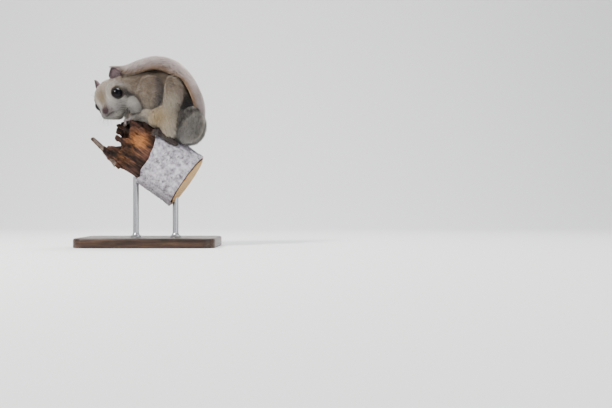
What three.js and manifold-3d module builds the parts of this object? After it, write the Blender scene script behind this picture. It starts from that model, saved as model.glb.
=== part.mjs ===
// A flying squirrel at life size, hunched on the broken end of a birch limb with its tail laid over its back.
// Millimetres, +Z up. The animal faces -X, its left flank faces -Y, and the stand's base lies on z = 0.
import * as THREE from "three";
import { mergeVertices } from "three/addons/utils/BufferGeometryUtils.js";
import Module from "manifold-3d";

const wasm = await Module();
wasm.setup();

// Driving sizes
const GAP = 0.3;
const LIFT = 88;
const V = (x, y, z) => new THREE.Vector3(x, y, z);
const rad = THREE.MathUtils.degToRad;

// The limb that the animal sits on: a log that leans down to the right, with its top line through CREST.
const limb = {
  crest: V(1.7, 0, 20.6),
  slopeDeg: 35,
  barkRadius: 26,
  barkThick: 3,
  woodEnd: -26,
  sawnEnd: 56,
  ledgeHeight: 19.5,
  ledgeReach: 2,
  tornBack: 20.5,
  shard: { root: V(-25, -7, -21), tip: V(-48, -9, 4.5), radius: 2.3 },
};

const stand = {
  length: 118,
  width: 84,
  thick: 8,
  corner: 10,
  bevel: 1,
  rodRadius: 2.5,
  rodX: [-12, 22],
  baseX: 0,
};

// The head: its own axes are x to its left, y forward and z up, turned about its centre.
const head = {
  centre: V(-28.6, -7, 36.3),
  turnDeg: 69,
  nodDeg: 21,
  tiltDeg: 28,
  skull: { at: V(0, -2.5, 3.5), half: V(17.6, 18.5, 15.8) },
  muzzle: { at: V(0, 10.4, -3.2), half: V(7.8, 10.4, 6.3) },
  chin: { at: V(0, 6.2, -7.2), half: V(5.9, 7.6, 4) },
  cheek: { at: V(10.4, -4, -5.5), half: V(10, 12, 10.5) },
  whiskerPad: { at: V(4, 13.2, -4.6), half: V(4.2, 5.2, 3.7) },
  eye: {
    at: V(9.9, 6.8, 3.6),
    look: V(0.85, 0.5, 0.16),
    radius: 5.5,
    lidRing: 5.1,
    lidThick: 0.9,
    lidOut: 2,
  },
  nose: { at: V(0, 19.9, -3.2), half: V(2.3, 1.8, 1.7) },
  mouthUp: -6.5,
  ear: {
    root: V(9.8, -5, 12.6),
    high: 12.6,
    wide: 10.6,
    thick: 4.6,
    wall: 0.8,
    splayDeg: 10,
    backDeg: 10,
    turnDeg: 34,
  },
};

const trunk = {
  chest: { at: V(-8, 0, 36), half: V(18, 17.5, 22) },
  back: { at: V(11, 0, 37.5), half: V(24, 20, 27) },
  rump: { at: V(25, 0, 23), half: V(18.5, 19.5, 22) },
};

// Limbs and membranes are given for the left side,
// and the right side is their mirror with its own small changes.
const foreleg = {
  shoulder: V(-3.2, -11.7, 38.2),
  elbow: V(1.5, -14.5, 26.8),
  wrist: V(-10.4, -13.5, 23),
  radii: [8, 5.2, 3],
};
const thigh = { at: V(33.5, -11.5, 16.5), half: V(14, 10.5, 16.5) };
const frontFold = { at: V(1.2, -15.5, 42.2), half: V(13, 7.5, 15.2), turnDeg: 14 };
const rearFold = {
  top: { at: V(20, -15, 40), half: V(9.5, 6.5, 16) },
  hem: { at: V(18.5, -15.5, 18.5), half: V(8.5, 7, 13.5) },
  fore: { at: V(8, -15.5, 24), half: V(9.5, 6, 8.5) },
};

const forepaw = {
  palm: V(3.3, 3.8, 2.2),
  toes: 4,
  toeLength: 6.4,
  toeRadius: 1.05,
  spreadDeg: 46,
  claw: 2.2,
};
const hindpaw = {
  palm: V(3.6, 9.5, 2.6),
  toes: 5,
  toeLength: 7.2,
  toeRadius: 1.15,
  spreadDeg: 40,
  claw: 2.5,
};

// The tail's bone line, how far the coat reaches from it to each side and up and down,
// and the core's share of that.
const tail = {
  line: [
    V(32, 0.5, 5), V(39.2, 0.8, 11), V(42.2, 1, 22), V(42, 1, 33), V(38.6, 1, 44), V(30.6, 0.6, 57.6),
    V(20, 0.2, 67), V(6, -0.5, 70.6), V(-8, -1.5, 67.6), V(-20, -2.5, 64), V(-32.5, -3.5, 63.4),
  ],
  halfWide: 15,
  halfThick: 6.6,
  core: 0.45,
  cuts: [0.27, 0.52, 0.76],
  chevronDeg: 46,
};

// The tail's locks: rows along each flank, over the top and under the belly,
// each lock swept out and towards the tip.
const locks = {
  flank: { count: 11, wide: 5.6, thick: 2, long: 22, rootDeg: 52, tipDeg: 26, lift: [2.4, -4.2] },
  top: { count: 9, wide: 5.4, thick: 2, long: 22, lift: 5.6, stray: 4 },
  under: { count: 4, wide: 5.4, thick: 1.8, long: 20, lift: -5, stray: 3 },
  tip: { count: 4, wide: 4.4, thick: 2, long: 20, fanDeg: 34 },
};

const colours = {
  coat: new THREE.MeshStandardMaterial({ color: 0x8f8578, roughness: 0.95, metalness: 0 }),
  pale: new THREE.MeshStandardMaterial({ color: 0xd9d3c7, roughness: 0.95, metalness: 0 }),
  tailCoat: new THREE.MeshStandardMaterial({ color: 0xa89c8e, roughness: 0.95, metalness: 0 }),
  skin: new THREE.MeshStandardMaterial({ color: 0xb08a86, roughness: 0.7, metalness: 0 }),
  eye: new THREE.MeshStandardMaterial({ color: 0x08080c, roughness: 0.06, metalness: 0 }),
  bark: new THREE.MeshStandardMaterial({ color: 0xcfccc8, roughness: 0.9, metalness: 0 }),
  wood: new THREE.MeshStandardMaterial({ color: 0x6b3f24, roughness: 0.95, metalness: 0 }),
  base: new THREE.MeshStandardMaterial({ color: 0x3a2c22, roughness: 0.5, metalness: 0 }),
  rod: new THREE.MeshStandardMaterial({ color: 0x8c8c8c, roughness: 0.3, metalness: 1 }),
};

// Solids from three.js geometry
function bare(geometry) {
  const copy = geometry.clone();
  copy.deleteAttribute("normal");
  copy.deleteAttribute("uv");
  return mergeVertices(copy, 1e-4);
}

function solid(geometry) {
  const g = bare(geometry);
  const triVerts = new Uint32Array(g.index.array);
  let made = new wasm.Manifold(
    new wasm.Mesh({ numProp: 3, vertProperties: g.getAttribute("position").array, triVerts }),
  );
  if (made.volume() < 0) {
    for (let i = 0; i < triVerts.length; i += 3) {
      [triVerts[i], triVerts[i + 1]] = [triVerts[i + 1], triVerts[i]];
    }
    made = new wasm.Manifold(
      new wasm.Mesh({ numProp: 3, vertProperties: g.getAttribute("position").array, triVerts }),
    );
  }
  return made;
}

const largest = (body) => body.decompose().reduce((a, b) => (b.volume() > a.volume() ? b : a));
const joined = (bodies) => bodies.reduce((a, b) => a.add(b));
const without = (body, ...cutters) => largest(cutters.reduce((a, b) => a.subtract(b), body));

function geometryOf(body) {
  const m = body.getMesh();
  const xyz = new Float32Array(m.numVert * 3);
  for (let i = 0; i < m.numVert; i++) {
    xyz.set(m.vertProperties.subarray(i * m.numProp, i * m.numProp + 3), i * 3);
  }
  const g = new THREE.BufferGeometry();
  g.setAttribute("position", new THREE.BufferAttribute(xyz, 3));
  g.setIndex(new THREE.BufferAttribute(new Uint32Array(m.triVerts), 1));
  g.computeVertexNormals();
  return g;
}

// Seeded draws, so that every build is the same.
function dice(seed) {
  let state = seed;
  return () => {
    state = (Math.imul(state, 1664525) + 1013904223) >>> 0;
    return state / 4294967296;
  };
}

// Fields: the distance to a form, negative inside it
function egg(at, half, turn = new THREE.Quaternion()) {
  const back = turn.clone().invert();
  const q = V(0, 0, 0);
  return (p) => {
    q.copy(p).sub(at).applyQuaternion(back);
    const near = Math.hypot(q.x / half.x, q.y / half.y, q.z / half.z);
    const slope = Math.hypot(q.x / half.x ** 2, q.y / half.y ** 2, q.z / half.z ** 2);
    return slope < 1e-9 ? -Math.min(half.x, half.y, half.z) : (near * (near - 1)) / slope;
  };
}

function cone(a, b, ra, rb) {
  const along = b.clone().sub(a);
  const long2 = along.lengthSq();
  const q = V(0, 0, 0);
  return (p) => {
    q.copy(p).sub(a);
    const t = THREE.MathUtils.clamp(q.dot(along) / long2, 0, 1);
    return q.addScaledVector(along, -t).length() - (ra + (rb - ra) * t);
  };
}

function blend(soft, ...fields) {
  return (p) =>
    fields.reduce((d, f) => {
      const e = f(p);
      const h = Math.max(soft - Math.abs(d - e), 0) / soft;
      return Math.min(d, e) - (h * h * soft) / 4;
    }, 1e3);
}

// A closed skin round a spine: each vertex of a ball goes out along its own ray
// until it meets the field's surface.
function skin(spine, field, around, along, { grow = 0, straight = 0, side = V(0, 1, 0) } = {}) {
  const ball = bare(new THREE.SphereGeometry(1, around, along));
  const place = ball.getAttribute("position");
  const d = V(0, 0, 0);
  const step = 0.8;
  for (let i = 0; i < place.count; i++) {
    d.fromBufferAttribute(place, i).normalize();
    const lat = Math.asin(THREE.MathUtils.clamp(d.y, -1, 1));
    const t = 0.5 + lat / Math.PI;
    const lean = lat * Math.abs((2 * lat) / Math.PI) ** straight;
    const start = spine.getPoint(t);
    const ahead = spine.getTangent(t);
    const across = V(0, 0, 0).crossVectors(side, ahead).normalize();
    const over = V(0, 0, 0).crossVectors(across, ahead);
    const turn = Math.atan2(d.z, d.x);
    const ray = across.multiplyScalar(Math.cos(turn) * Math.cos(lean));
    ray.addScaledVector(over, Math.sin(turn) * Math.cos(lean)).addScaledVector(ahead, Math.sin(lean));
    const at = (r) => field(start.clone().addScaledVector(ray, r)) - grow;
    let inside = 0;
    let outside = step;
    while (at(outside) < 0) {
      inside = outside;
      outside += step;
    }
    for (let k = 0; k < 18; k++) {
      const middle = (inside + outside) / 2;
      if (at(middle) < 0) inside = middle;
      else outside = middle;
    }
    start.addScaledVector(ray, (inside + outside) / 2);
    place.setXYZ(i, start.x, start.y, start.z);
  }
  return solid(ball);
}

const line = (...points) => new THREE.CatmullRomCurve3(points);
const mirrored = (p) => V(p.x, -p.y, p.z);

// The limb: its axes are x down the slope, y away from the viewer and z square to the slope.
const limbAxes = new THREE.Matrix4().makeRotationY(rad(limb.slopeDeg));
const limbUp = V(0, 0, 1).applyMatrix4(limbAxes);
const limbCentre = limb.crest.clone().addScaledVector(limbUp, -limb.barkRadius);
limbAxes.setPosition(limbCentre);

// A log from start to end, with an uneven skin and a ragged broken end.
function log(radius, start, end, sides, rings, rough, ragged, seed, grow = 0) {
  const length = end - start;
  const g = bare(new THREE.CylinderGeometry(1, 1, 1, sides, rings));
  const place = g.getAttribute("position");
  const roll = dice(seed);
  const teeth = Array.from({ length: sides }, () => roll());
  const ripples = Array.from({ length: 5 }, () => roll() * Math.PI * 2);
  for (let i = 0; i < place.count; i++) {
    const spread = Math.hypot(place.getX(i), place.getZ(i));
    const turn = Math.atan2(place.getZ(i), place.getX(i));
    const along = 0.5 - place.getY(i);
    const tooth = teeth[Math.round(((turn + Math.PI * 2) / (Math.PI * 2)) * sides) % sides];
    const ripple = (sum, phase, n) => sum + Math.sin(turn * (n + 2) + phase + along * (n + 1));
    const wave = ripples.reduce(ripple, 0);
    const r = spread * (radius + grow + rough * wave * 0.4);
    const x = start + along * length + (along < 1e-6 ? (tooth - 0.5) * ragged * spread : 0);
    const slip = along < 1e-6 ? -grow : along > 1 - 1e-6 ? grow : 0;
    place.setXYZ(i, x + slip, Math.sin(turn) * r, Math.cos(turn) * r);
  }
  return solid(g.applyMatrix4(limbAxes));
}

function box(from, to) {
  const size = to.clone().sub(from);
  const g = new THREE.BoxGeometry(size.x, size.y, size.z);
  return solid(g.translate(from.x + size.x / 2, from.y + size.y / 2, from.z + size.z / 2));
}

// A tapered splinter from root to tip, with a flattened section and a tip cut to a share of its root.
function splinter(root, tip, radius, flat = 0.5, blunt = 0) {
  const along = tip.clone().sub(root);
  const g = new THREE.CylinderGeometry(radius * blunt, radius, along.length(), 5, 1);
  g.translate(0, along.length() / 2, 0).scale(1, 1, flat);
  g.applyQuaternion(new THREE.Quaternion().setFromUnitVectors(V(0, 1, 0), along.clone().normalize()));
  return solid(g.translate(root.x, root.y, root.z));
}

const far = 200;
const ledge = (drop) =>
  box(V(-far, -far, limb.ledgeHeight - drop), V(limb.ledgeReach + drop, far, far));

// A broken block of wood: a box along the grain, skewed at its free end.
function block(at, size, skew, grow) {
  const g = new THREE.BoxGeometry(size.x + 2 * grow, size.y + 2 * grow, size.z + 2 * grow);
  const place = g.getAttribute("position");
  for (let i = 0; i < place.count; i++) {
    const [x, y, z] = [place.getX(i), place.getY(i), place.getZ(i)];
    if (x < 0) place.setX(i, x + skew.y * Math.sign(y) + skew.z * Math.sign(z));
  }
  return solid(g.applyMatrix4(limbAxes).translate(at.x - limbCentre.x, at.y, at.z - limbCentre.z));
}

// The wood has broken off in steps: its near upper part furthest back, its far rim less and its foot least.
function makeWood(grow) {
  const radius = limb.barkRadius - limb.barkThick - GAP;
  let body = log(radius, limb.woodEnd, limb.sawnEnd, 18, 2, 0.35, 4, 7, grow).subtract(ledge(-grow));
  const steps = [
    [V(-far, -far, 3), V(-14, -5, far)],
    [V(-far, -far, -6), V(-21, 5, far)],
    [V(-far, 4, -2), V(-26, far, far)],
    [V(-far, -far, -far), V(-35, far, far)],
  ];
  for (const [from, to] of steps) body = body.subtract(box(from, to.clone().add(V(-grow, -grow, 0))));
  const roll = dice(21);
  const pieces = [body];
  const stumps = [
    [-15, -15, 9], [-17, -8, 12], [-22, 1, 13], [-25, 12, 9],
    [-22, -14, 2], [-33, -9, -9], [-31, 4, -12], [-34, 10, -5],
  ];
  for (const [x, y, z] of stumps) {
    const size = V(11 + 5 * roll(), 4 + 3 * roll(), 3 + 3 * roll());
    pieces.push(block(V(x, y, z), size, V(0, 2 * roll() - 1, 3 * roll() - 1.5), grow));
  }
  pieces.push(splinter(limb.shard.root, limb.shard.tip, limb.shard.radius + grow, 0.9, 0.6));
  return largest(joined(pieces).subtract(ledge(-grow)));
}

function makeBark(grow) {
  const shell = log(limb.barkRadius, -6, limb.sawnEnd - 1.2, 20, 2, 0.35, 3, 11, grow);
  const bore = log(limb.barkRadius - limb.barkThick, -40, limb.sawnEnd + 30, 18, 2, 0.35, 0, 7, -grow);
  // The bark has come away from the broken end: it starts at the crest and lies further back down each side.
  const roll = dice(5);
  const edge = new THREE.Shape();
  const teeth = 12;
  const low = -34;
  const high = 30;
  edge.moveTo(-far, high);
  for (let i = 0; i <= teeth; i++) {
    const z = high + ((low - high) * i) / teeth;
    const down = (limb.barkRadius - z) / (2 * limb.barkRadius);
    const back = limb.tornBack * Math.sqrt(THREE.MathUtils.clamp(2 * down, 0, 1));
    edge.lineTo(back + (roll() - 0.5) * 3 - grow, z);
  }
  edge.lineTo(-far, low);
  const prism = new THREE.ExtrudeGeometry(edge, { depth: 2 * far, bevelEnabled: false });
  prism.translate(0, 0, -far).rotateX(Math.PI / 2).applyMatrix4(limbAxes);
  const torn = solid(prism);
  return grow ? shell.subtract(torn) : largest(shell.subtract(bore).subtract(torn));
}

const wood = makeWood(0);
const woodGrown = makeWood(GAP);
const bark = makeBark(0);
const barkGrown = makeBark(GAP);

// Head
const headAxes = (() => {
  const turn = rad(head.turnDeg);
  const nod = rad(head.nodDeg);
  const ahead = V(-Math.cos(turn) * Math.cos(nod), -Math.sin(turn) * Math.cos(nod), -Math.sin(nod));
  const level = V(Math.sin(turn), -Math.cos(turn), 0);
  const upright = V(0, 0, 0).crossVectors(ahead, level);
  const left = level.clone().applyAxisAngle(ahead, rad(head.tiltDeg));
  const up = upright.clone().applyAxisAngle(ahead, rad(head.tiltDeg));
  if (up.z < 0) up.negate();
  return new THREE.Matrix4().makeBasis(left, ahead, up).setPosition(head.centre);
})();
const onHead = (x, y, z) => V(x, y, z).applyMatrix4(headAxes);
const eyeCentre = (side) => onHead(side * head.eye.at.x, head.eye.at.y, head.eye.at.z);
const toHead = headAxes.clone().invert();

function headField() {
  const parts = [head.skull, head.muzzle, head.chin].map(({ at, half }) => egg(at, half));
  for (const side of [1, -1]) {
    for (const { at, half } of [head.cheek, head.whiskerPad]) {
      parts.push(egg(V(side * at.x, at.y, at.z), half));
    }
  }
  const whole = blend(4.5, ...parts);
  const q = V(0, 0, 0);
  return (p) => whole(q.copy(p).applyMatrix4(toHead));
}
const headForm = headField();
const headMesh = [20, 14];
const headSpine = line(onHead(0, -6, 2), onHead(0, 1, 0), onHead(0, 9, -3), onHead(0, 15, -5));
const makeHead = (around, along, grow) =>
  skin(headSpine, headForm, around, along, { grow, side: V(0, 0, 1).transformDirection(headAxes) });

function ball(at, half, around = 14, along = 10, axes = new THREE.Matrix4()) {
  const g = new THREE.SphereGeometry(1, around, along).scale(half.x, half.y, half.z);
  return solid(g.translate(at.x, at.y, at.z).applyMatrix4(axes));
}

function eyeball(side, grow) {
  const r = head.eye.radius + grow;
  return ball(eyeCentre(side), V(r, r, r), 14, 9);
}

// A lid is a low ring round the eye, square to the way the eye looks.
function lid(side) {
  const { at, look, lidRing, lidThick, lidOut } = head.eye;
  const ahead = V(side * look.x, look.y, look.z).normalize();
  const g = new THREE.TorusGeometry(lidRing, lidThick, 5, 14);
  g.applyQuaternion(new THREE.Quaternion().setFromUnitVectors(V(0, 0, 1), ahead));
  const place = V(side * at.x, at.y, at.z).addScaledVector(ahead, lidOut);
  return solid(g.translate(place.x, place.y, place.z).applyMatrix4(headAxes));
}

// A tube along a curve, with round section and closed ends.
function tube(curve, radius, steps, sides = 6) {
  const ring = new THREE.Shape().absarc(0, 0, radius, 0, Math.PI * 2);
  const g = new THREE.ExtrudeGeometry(ring, { extrudePath: curve, steps, curveSegments: sides });
  return solid(g);
}

function makeHeadSolid() {
  const { at, half } = head.nose;
  const lip = head.mouthUp;
  let body = joined([makeHead(...headMesh, 0), ball(at, half, 10, 8, headAxes), lid(1), lid(-1)]);
  for (const side of [1, -1]) {
    body = body.subtract(eyeball(side, GAP));
    body = body.subtract(ball(V(side * 1.5, at.y + 1.8, at.z - 0.3), V(0.75, 1.1, 0.6), 6, 5, headAxes));
  }
  const mouthAt = (x, back, drop) => V(x, at.y - back, lip - drop);
  const mouth = [
    mouthAt(-5, 6.6, 0.8),
    mouthAt(-3.2, 2.6, 0.5),
    mouthAt(0, 0.6, 0),
    mouthAt(3.2, 2.6, 0.5),
    mouthAt(5, 6.6, 0.8),
  ];
  body = body.subtract(tube(line(...mouth.map((p) => p.applyMatrix4(headAxes))), 0.55, 12, 5));
  const parting = [V(0, at.y + 0.8, lip - 0.2), V(0, at.y + 1.6, at.z - 1.6)];
  return largest(body.subtract(tube(line(...parting.map((p) => p.applyMatrix4(headAxes))), 0.4, 2, 5)));
}

// An ear is an upright, slightly pointed cup, open to the front.
function makeEar(side, grow) {
  const { root, high, wide, thick, wall, splayDeg, backDeg, turnDeg } = head.ear;
  const spread = new THREE.Euler(rad(backDeg), rad(side * splayDeg), rad(-side * turnDeg), "YXZ");
  const shell = (inset, shift) => {
    const g = bare(new THREE.SphereGeometry(1, 12, 9));
    const place = g.getAttribute("position");
    for (let i = 0; i < place.count; i++) {
      const h = place.getZ(i);
      const taper = h > 0 ? 1 - 0.32 * h : 1 + 0.1 * h;
      const curl = 0.36 * (h + 1) ** 2;
      const x = place.getX(i) * (wide / 2 - inset) * taper;
      place.setXYZ(i, x, (place.getY(i) * thick) / 2 + shift - curl, h * (high / 2 - inset) + high / 2);
    }
    g.applyQuaternion(new THREE.Quaternion().setFromEuler(spread));
    return solid(g.translate(side * root.x, root.y, root.z).applyMatrix4(headAxes));
  };
  return grow ? shell(-grow, 0) : shell(0, 0).subtract(shell(wall, wall * 1.8));
}

// Trunk, neck and limbs
const trunkForm = blend(
  7,
  egg(trunk.chest.at, trunk.chest.half),
  egg(trunk.back.at, trunk.back.half),
  egg(trunk.rump.at, trunk.rump.half),
);
const trunkMesh = [18, 13];
const trunkSpine = line(V(-10, 0, 32), V(2, 0, 38), V(14, 0, 35), V(26, 0, 23));
const makeTrunk = (around, along, grow) => skin(trunkSpine, trunkForm, around, along, { grow });

const neckForm = cone(V(-4, -1, 45), V(-23, -4, 43), 17, 15.5);
const neckLine = line(V(-5, -1, 45), V(-14, -2.5, 44), V(-22, -4, 43));
const makeNeck = (grow) => skin(neckLine, neckForm, 16, 8, { grow });

const atSide = (side, p) => (side > 0 ? p.clone() : mirrored(p));

function makeThigh(side, grow) {
  const at = atSide(side, thigh.at);
  const spine = line(at.clone().add(V(3, 0, -4)), at, at.clone().add(V(-3, 0, 5)));
  return skin(spine, egg(at, thigh.half), 12, 8, { grow });
}

function makeForeleg(side, grow) {
  const joints = [foreleg.shoulder, foreleg.elbow, foreleg.wrist];
  const [shoulder, elbow, wrist] = joints.map((p) => atSide(side, p));
  const [r0, r1, r2] = foreleg.radii;
  const bone = (a, b, ra, rb) =>
    skin(line(a, a.clone().lerp(b, 0.5), b), cone(a, b, ra, rb), 9, 6, { grow, straight: 0.7 });
  return joined([bone(shoulder, elbow, r0, r1), bone(elbow, wrist, r1, r2)]);
}

function makeFrontFold(side, grow) {
  const at = atSide(side, frontFold.at);
  const turn = new THREE.Quaternion().setFromAxisAngle(V(0, 1, 0), rad(frontFold.turnDeg));
  const form = egg(at, frontFold.half, turn);
  return skin(line(at.clone().add(V(-1, 0, -6)), at, at.clone().add(V(1, 0, 6))), form, 12, 8, { grow });
}

function makeRearFold(side, grow) {
  const { top, hem, fore } = rearFold;
  const form = blend(4, ...[top, hem, fore].map(({ at, half }) => egg(atSide(side, at), half)));
  const from = top.at.clone().add(V(0, 0, 4));
  const to = hem.at.clone().add(V(0, 0, -3));
  const spine = line(...[from, top.at.clone().lerp(hem.at, 0.5), to].map((p) => atSide(side, p)));
  return skin(spine, form, 10, 8, { grow, straight: 0.3 });
}

// A paw: a flat palm with toes in a fan, each toe two short bones and a claw.
// Its axes are x across, y ahead, z up.
function makePaw(sizes, axes, dipDeg) {
  const pieces = [ball(V(0, 0, 0), sizes.palm, 10, 7)];
  for (let i = 0; i < sizes.toes; i++) {
    const share = i / (sizes.toes - 1) - 0.5;
    const fan = rad(share * sizes.spreadDeg);
    const root = V(share * sizes.palm.x * 1.5, sizes.palm.y * 0.72, -0.2);
    const length = sizes.toeLength * (1 - 0.5 * share * share);
    const ahead = V(Math.sin(fan), Math.cos(fan), 0);
    const knuckle = root.clone().addScaledVector(ahead, length * 0.5).add(V(0, 0, 0.7));
    const dip = rad(dipDeg);
    const fall = V(0, 0, -length * 0.5 * Math.sin(dip));
    const tip = knuckle.clone().addScaledVector(ahead, length * 0.5 * Math.cos(dip)).add(fall);
    const r = sizes.toeRadius;
    const bones = line(root, knuckle, tip);
    const form = blend(0.6, cone(root, knuckle, r * 1.05, r), cone(knuckle, tip, r, r * 0.92));
    pieces.push(skin(bones, form, 4, 5, { straight: 0.8, side: V(0, 0, 1) }));
    const clawTip = tip.clone().addScaledVector(ahead, sizes.claw * 0.75).add(V(0, 0, -sizes.claw * 0.75));
    pieces.push(splinter(tip.clone().addScaledVector(ahead, -0.3), clawTip, r * 0.62, 0.8));
  }
  const body = joined(pieces);
  return body.transform(axes.toArray());
}

function pawAxes(at, ahead, up) {
  const across = V(0, 0, 0).crossVectors(ahead, up).normalize();
  const level = V(0, 0, 0).crossVectors(across, ahead);
  return new THREE.Matrix4().makeBasis(across, ahead.clone().normalize(), level.normalize()).setPosition(at);
}

// Tail
const tailLine = new THREE.CatmullRomCurve3(tail.line);
const tailFrame = (t) => {
  const at = tailLine.getPointAt(t);
  const ahead = tailLine.getTangentAt(t);
  const out = V(0, 0, 0).crossVectors(V(0, 1, 0), ahead).normalize();
  const across = V(0, 0, 0).crossVectors(ahead, out);
  return { at, ahead, out, across };
};
const tailSpread = (t) => Math.min(1, 0.35 + 2.6 * t) * (1 - 0.42 * THREE.MathUtils.smoothstep(t, 0.72, 1));

const tailLength = tailLine.getLength();

// A place on the tail: along its line in mm, to the side, and outwards. Past the end it runs on straight.
function onTail(along, side, out) {
  const t = THREE.MathUtils.clamp(along / tailLength, 0, 1);
  const f = tailFrame(t);
  const past = along - t * tailLength;
  return f.at.addScaledVector(f.ahead, past).addScaledVector(f.across, side).addScaledVector(f.out, out);
}

// The core is a flat cord round the bone, within the middle half of the coat.
function tailCore() {
  const g = bare(new THREE.SphereGeometry(1, 8, 18));
  const place = g.getAttribute("position");
  for (let i = 0; i < place.count; i++) {
    const y = THREE.MathUtils.clamp(place.getY(i), -1, 1);
    const t = (0.5 + Math.asin(y) / Math.PI) * 0.93;
    const ring = Math.hypot(place.getX(i), place.getZ(i)) || 1;
    const round = Math.min(1, Math.sqrt(1 - y * y) * 2.5) * tail.core;
    const wide = tail.halfWide * tailSpread(t) * round;
    const thick = tail.halfThick * round;
    const p = onTail(t * tailLength, (place.getX(i) / ring) * wide, (place.getZ(i) / ring) * thick);
    place.setXYZ(i, p.x, p.y, p.z);
  }
  return solid(g);
}

// A lock is a flat tapered blade along a bending path: three corners a ring,
// full in its middle and fine at its tip.
function lock(path, wide, thick, flat) {
  const shares = [0.75, 1, 0.7];
  const rings = shares.length;
  const g = bare(new THREE.CylinderGeometry(1, 1, 1, 3, rings).rotateY(Math.PI));
  const place = g.getAttribute("position");
  const d = V(0, 0, 0);
  for (let i = 0; i < place.count; i++) {
    const h = place.getY(i) + 0.5;
    const share = h > 0.99 ? 0.12 : shares[Math.round(h * rings)];
    const at = path.getPoint(h);
    const ahead = path.getTangent(h);
    const up = flat.clone().addScaledVector(ahead, -flat.dot(ahead)).normalize();
    d.crossVectors(ahead, up);
    at.addScaledVector(d, place.getX(i) * wide * share).addScaledVector(up, place.getZ(i) * thick * share);
    place.setXYZ(i, at.x, at.y, at.z);
  }
  return solid(g);
}

function tailLocks() {
  const roll = dice(33);
  const vary = (share) => 1 + (roll() - 0.5) * 2 * share;
  const made = [];
  const { flank, top, under, tip } = locks;
  flank.lift.forEach((lift, row) => {
    for (let i = 0; i < flank.count; i++) {
      for (const side of [1, -1]) {
        const from = (0.02 + (0.84 * (i + 0.5 * row)) / flank.count) * tailLength;
        const reach = tail.halfWide * tailSpread(from / tailLength + 0.05) * vary(0.07);
        const [a0, a1] = [rad(flank.rootDeg), rad(flank.tipDeg)];
        const share = reach / tail.halfWide;
        const long = flank.long * share;
        const bend = 0.45 * (Math.cos(a0) + Math.cos(a1)) * long;
        const path = line(
          onTail(from, side * 1.2, lift * 0.3),
          onTail(from + bend * 0.42, side * (1.2 + (reach - 1.2) * 0.52), lift * 0.7 + 1.2),
          onTail(from + bend * 1.05, side * reach, lift * vary(0.25)),
        );
        const wide = flank.wide * vary(0.12) * (0.6 + 0.4 * share);
        made.push(lock(path, wide, flank.thick, tailFrame(from / tailLength).out));
      }
    }
  });
  for (const row of [top, under]) {
    for (let i = 0; i < row.count; i++) {
      const from = (0.02 + (0.84 * i) / row.count) * tailLength;
      const aside = ((i % 3) - 1) * row.stray * vary(0.25);
      const path = line(
        onTail(from, aside * 0.4, row.lift * 0.2),
        onTail(from + row.long * 0.45, aside, row.lift * 0.85),
        onTail(from + row.long * vary(0.12), aside * 1.5, row.lift * vary(0.15)),
      );
      made.push(lock(path, row.wide, row.thick, tailFrame(from / tailLength).out));
    }
  }
  for (let i = 0; i < tip.count; i++) {
    const fan = rad((i / (tip.count - 1) - 0.5) * tip.fanDeg);
    const from = tailLength - tip.long * 0.8;
    const end = (r) => [from + r * Math.cos(fan), r * Math.sin(fan) + Math.sin(fan) * 2];
    const [mid, far] = [end(tip.long * 0.5), end(tip.long * vary(0.06))];
    const lift = ((i % 2) - 0.5) * 1.6;
    const path = line(onTail(from, 0, 0), onTail(...mid, lift), onTail(...far, lift));
    made.push(lock(path, tip.wide, tip.thick, tailFrame(0.97).out));
  }
  return made;
}

// A thin V-shaped slab across the tail, whose arms sweep back along the lie of the hair.
function chevron(t) {
  const f = tailFrame(t);
  const half = tail.halfWide * 1.6;
  const sweep = Math.tan(rad(tail.chevronDeg)) * half;
  const thick = GAP / 2;
  const outline = new THREE.Shape([
    new THREE.Vector2(-half, sweep - thick),
    new THREE.Vector2(0, -thick),
    new THREE.Vector2(half, sweep - thick),
    new THREE.Vector2(half, sweep + thick),
    new THREE.Vector2(0, thick),
    new THREE.Vector2(-half, sweep + thick),
  ]);
  const deep = tail.halfThick * 4;
  const g = new THREE.ExtrudeGeometry(outline, { depth: deep, bevelEnabled: false });
  g.translate(0, 0, -deep / 2);
  g.applyMatrix4(new THREE.Matrix4().makeBasis(f.across, f.ahead, f.out).setPosition(f.at));
  return solid(g);
}

// Assembly
const part = new THREE.Group();
const animal = new THREE.Group();
animal.position.z = LIFT;
part.add(animal);

function add(group, name, body, material) {
  const mesh = new THREE.Mesh(geometryOf(largest(body)), material);
  mesh.name = name;
  group.add(mesh);
}

add(animal, "perch_wood", wood, colours.wood);
add(animal, "perch_bark", bark, colours.bark);

const sides = [[1, "left"], [-1, "right"]];
const perches = [woodGrown, barkGrown];
const headGrown = makeHead(...headMesh, GAP);
const neckGrown = makeNeck(GAP);
const trunkGrown = makeTrunk(...trunkMesh, GAP);
const tailCutters = [headGrown, neckGrown, trunkGrown, ...perches];
add(animal, "head", makeHeadSolid(), colours.coat);
for (const [side, name] of sides) {
  add(animal, "eye_" + name, eyeball(side, 0), colours.eye);
  add(animal, "ear_" + name, without(makeEar(side, 0), headGrown, neckGrown), colours.skin);
  tailCutters.push(makeEar(side, GAP));
}
add(animal, "neck", without(makeNeck(0), headGrown, ...perches), colours.coat);

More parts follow.
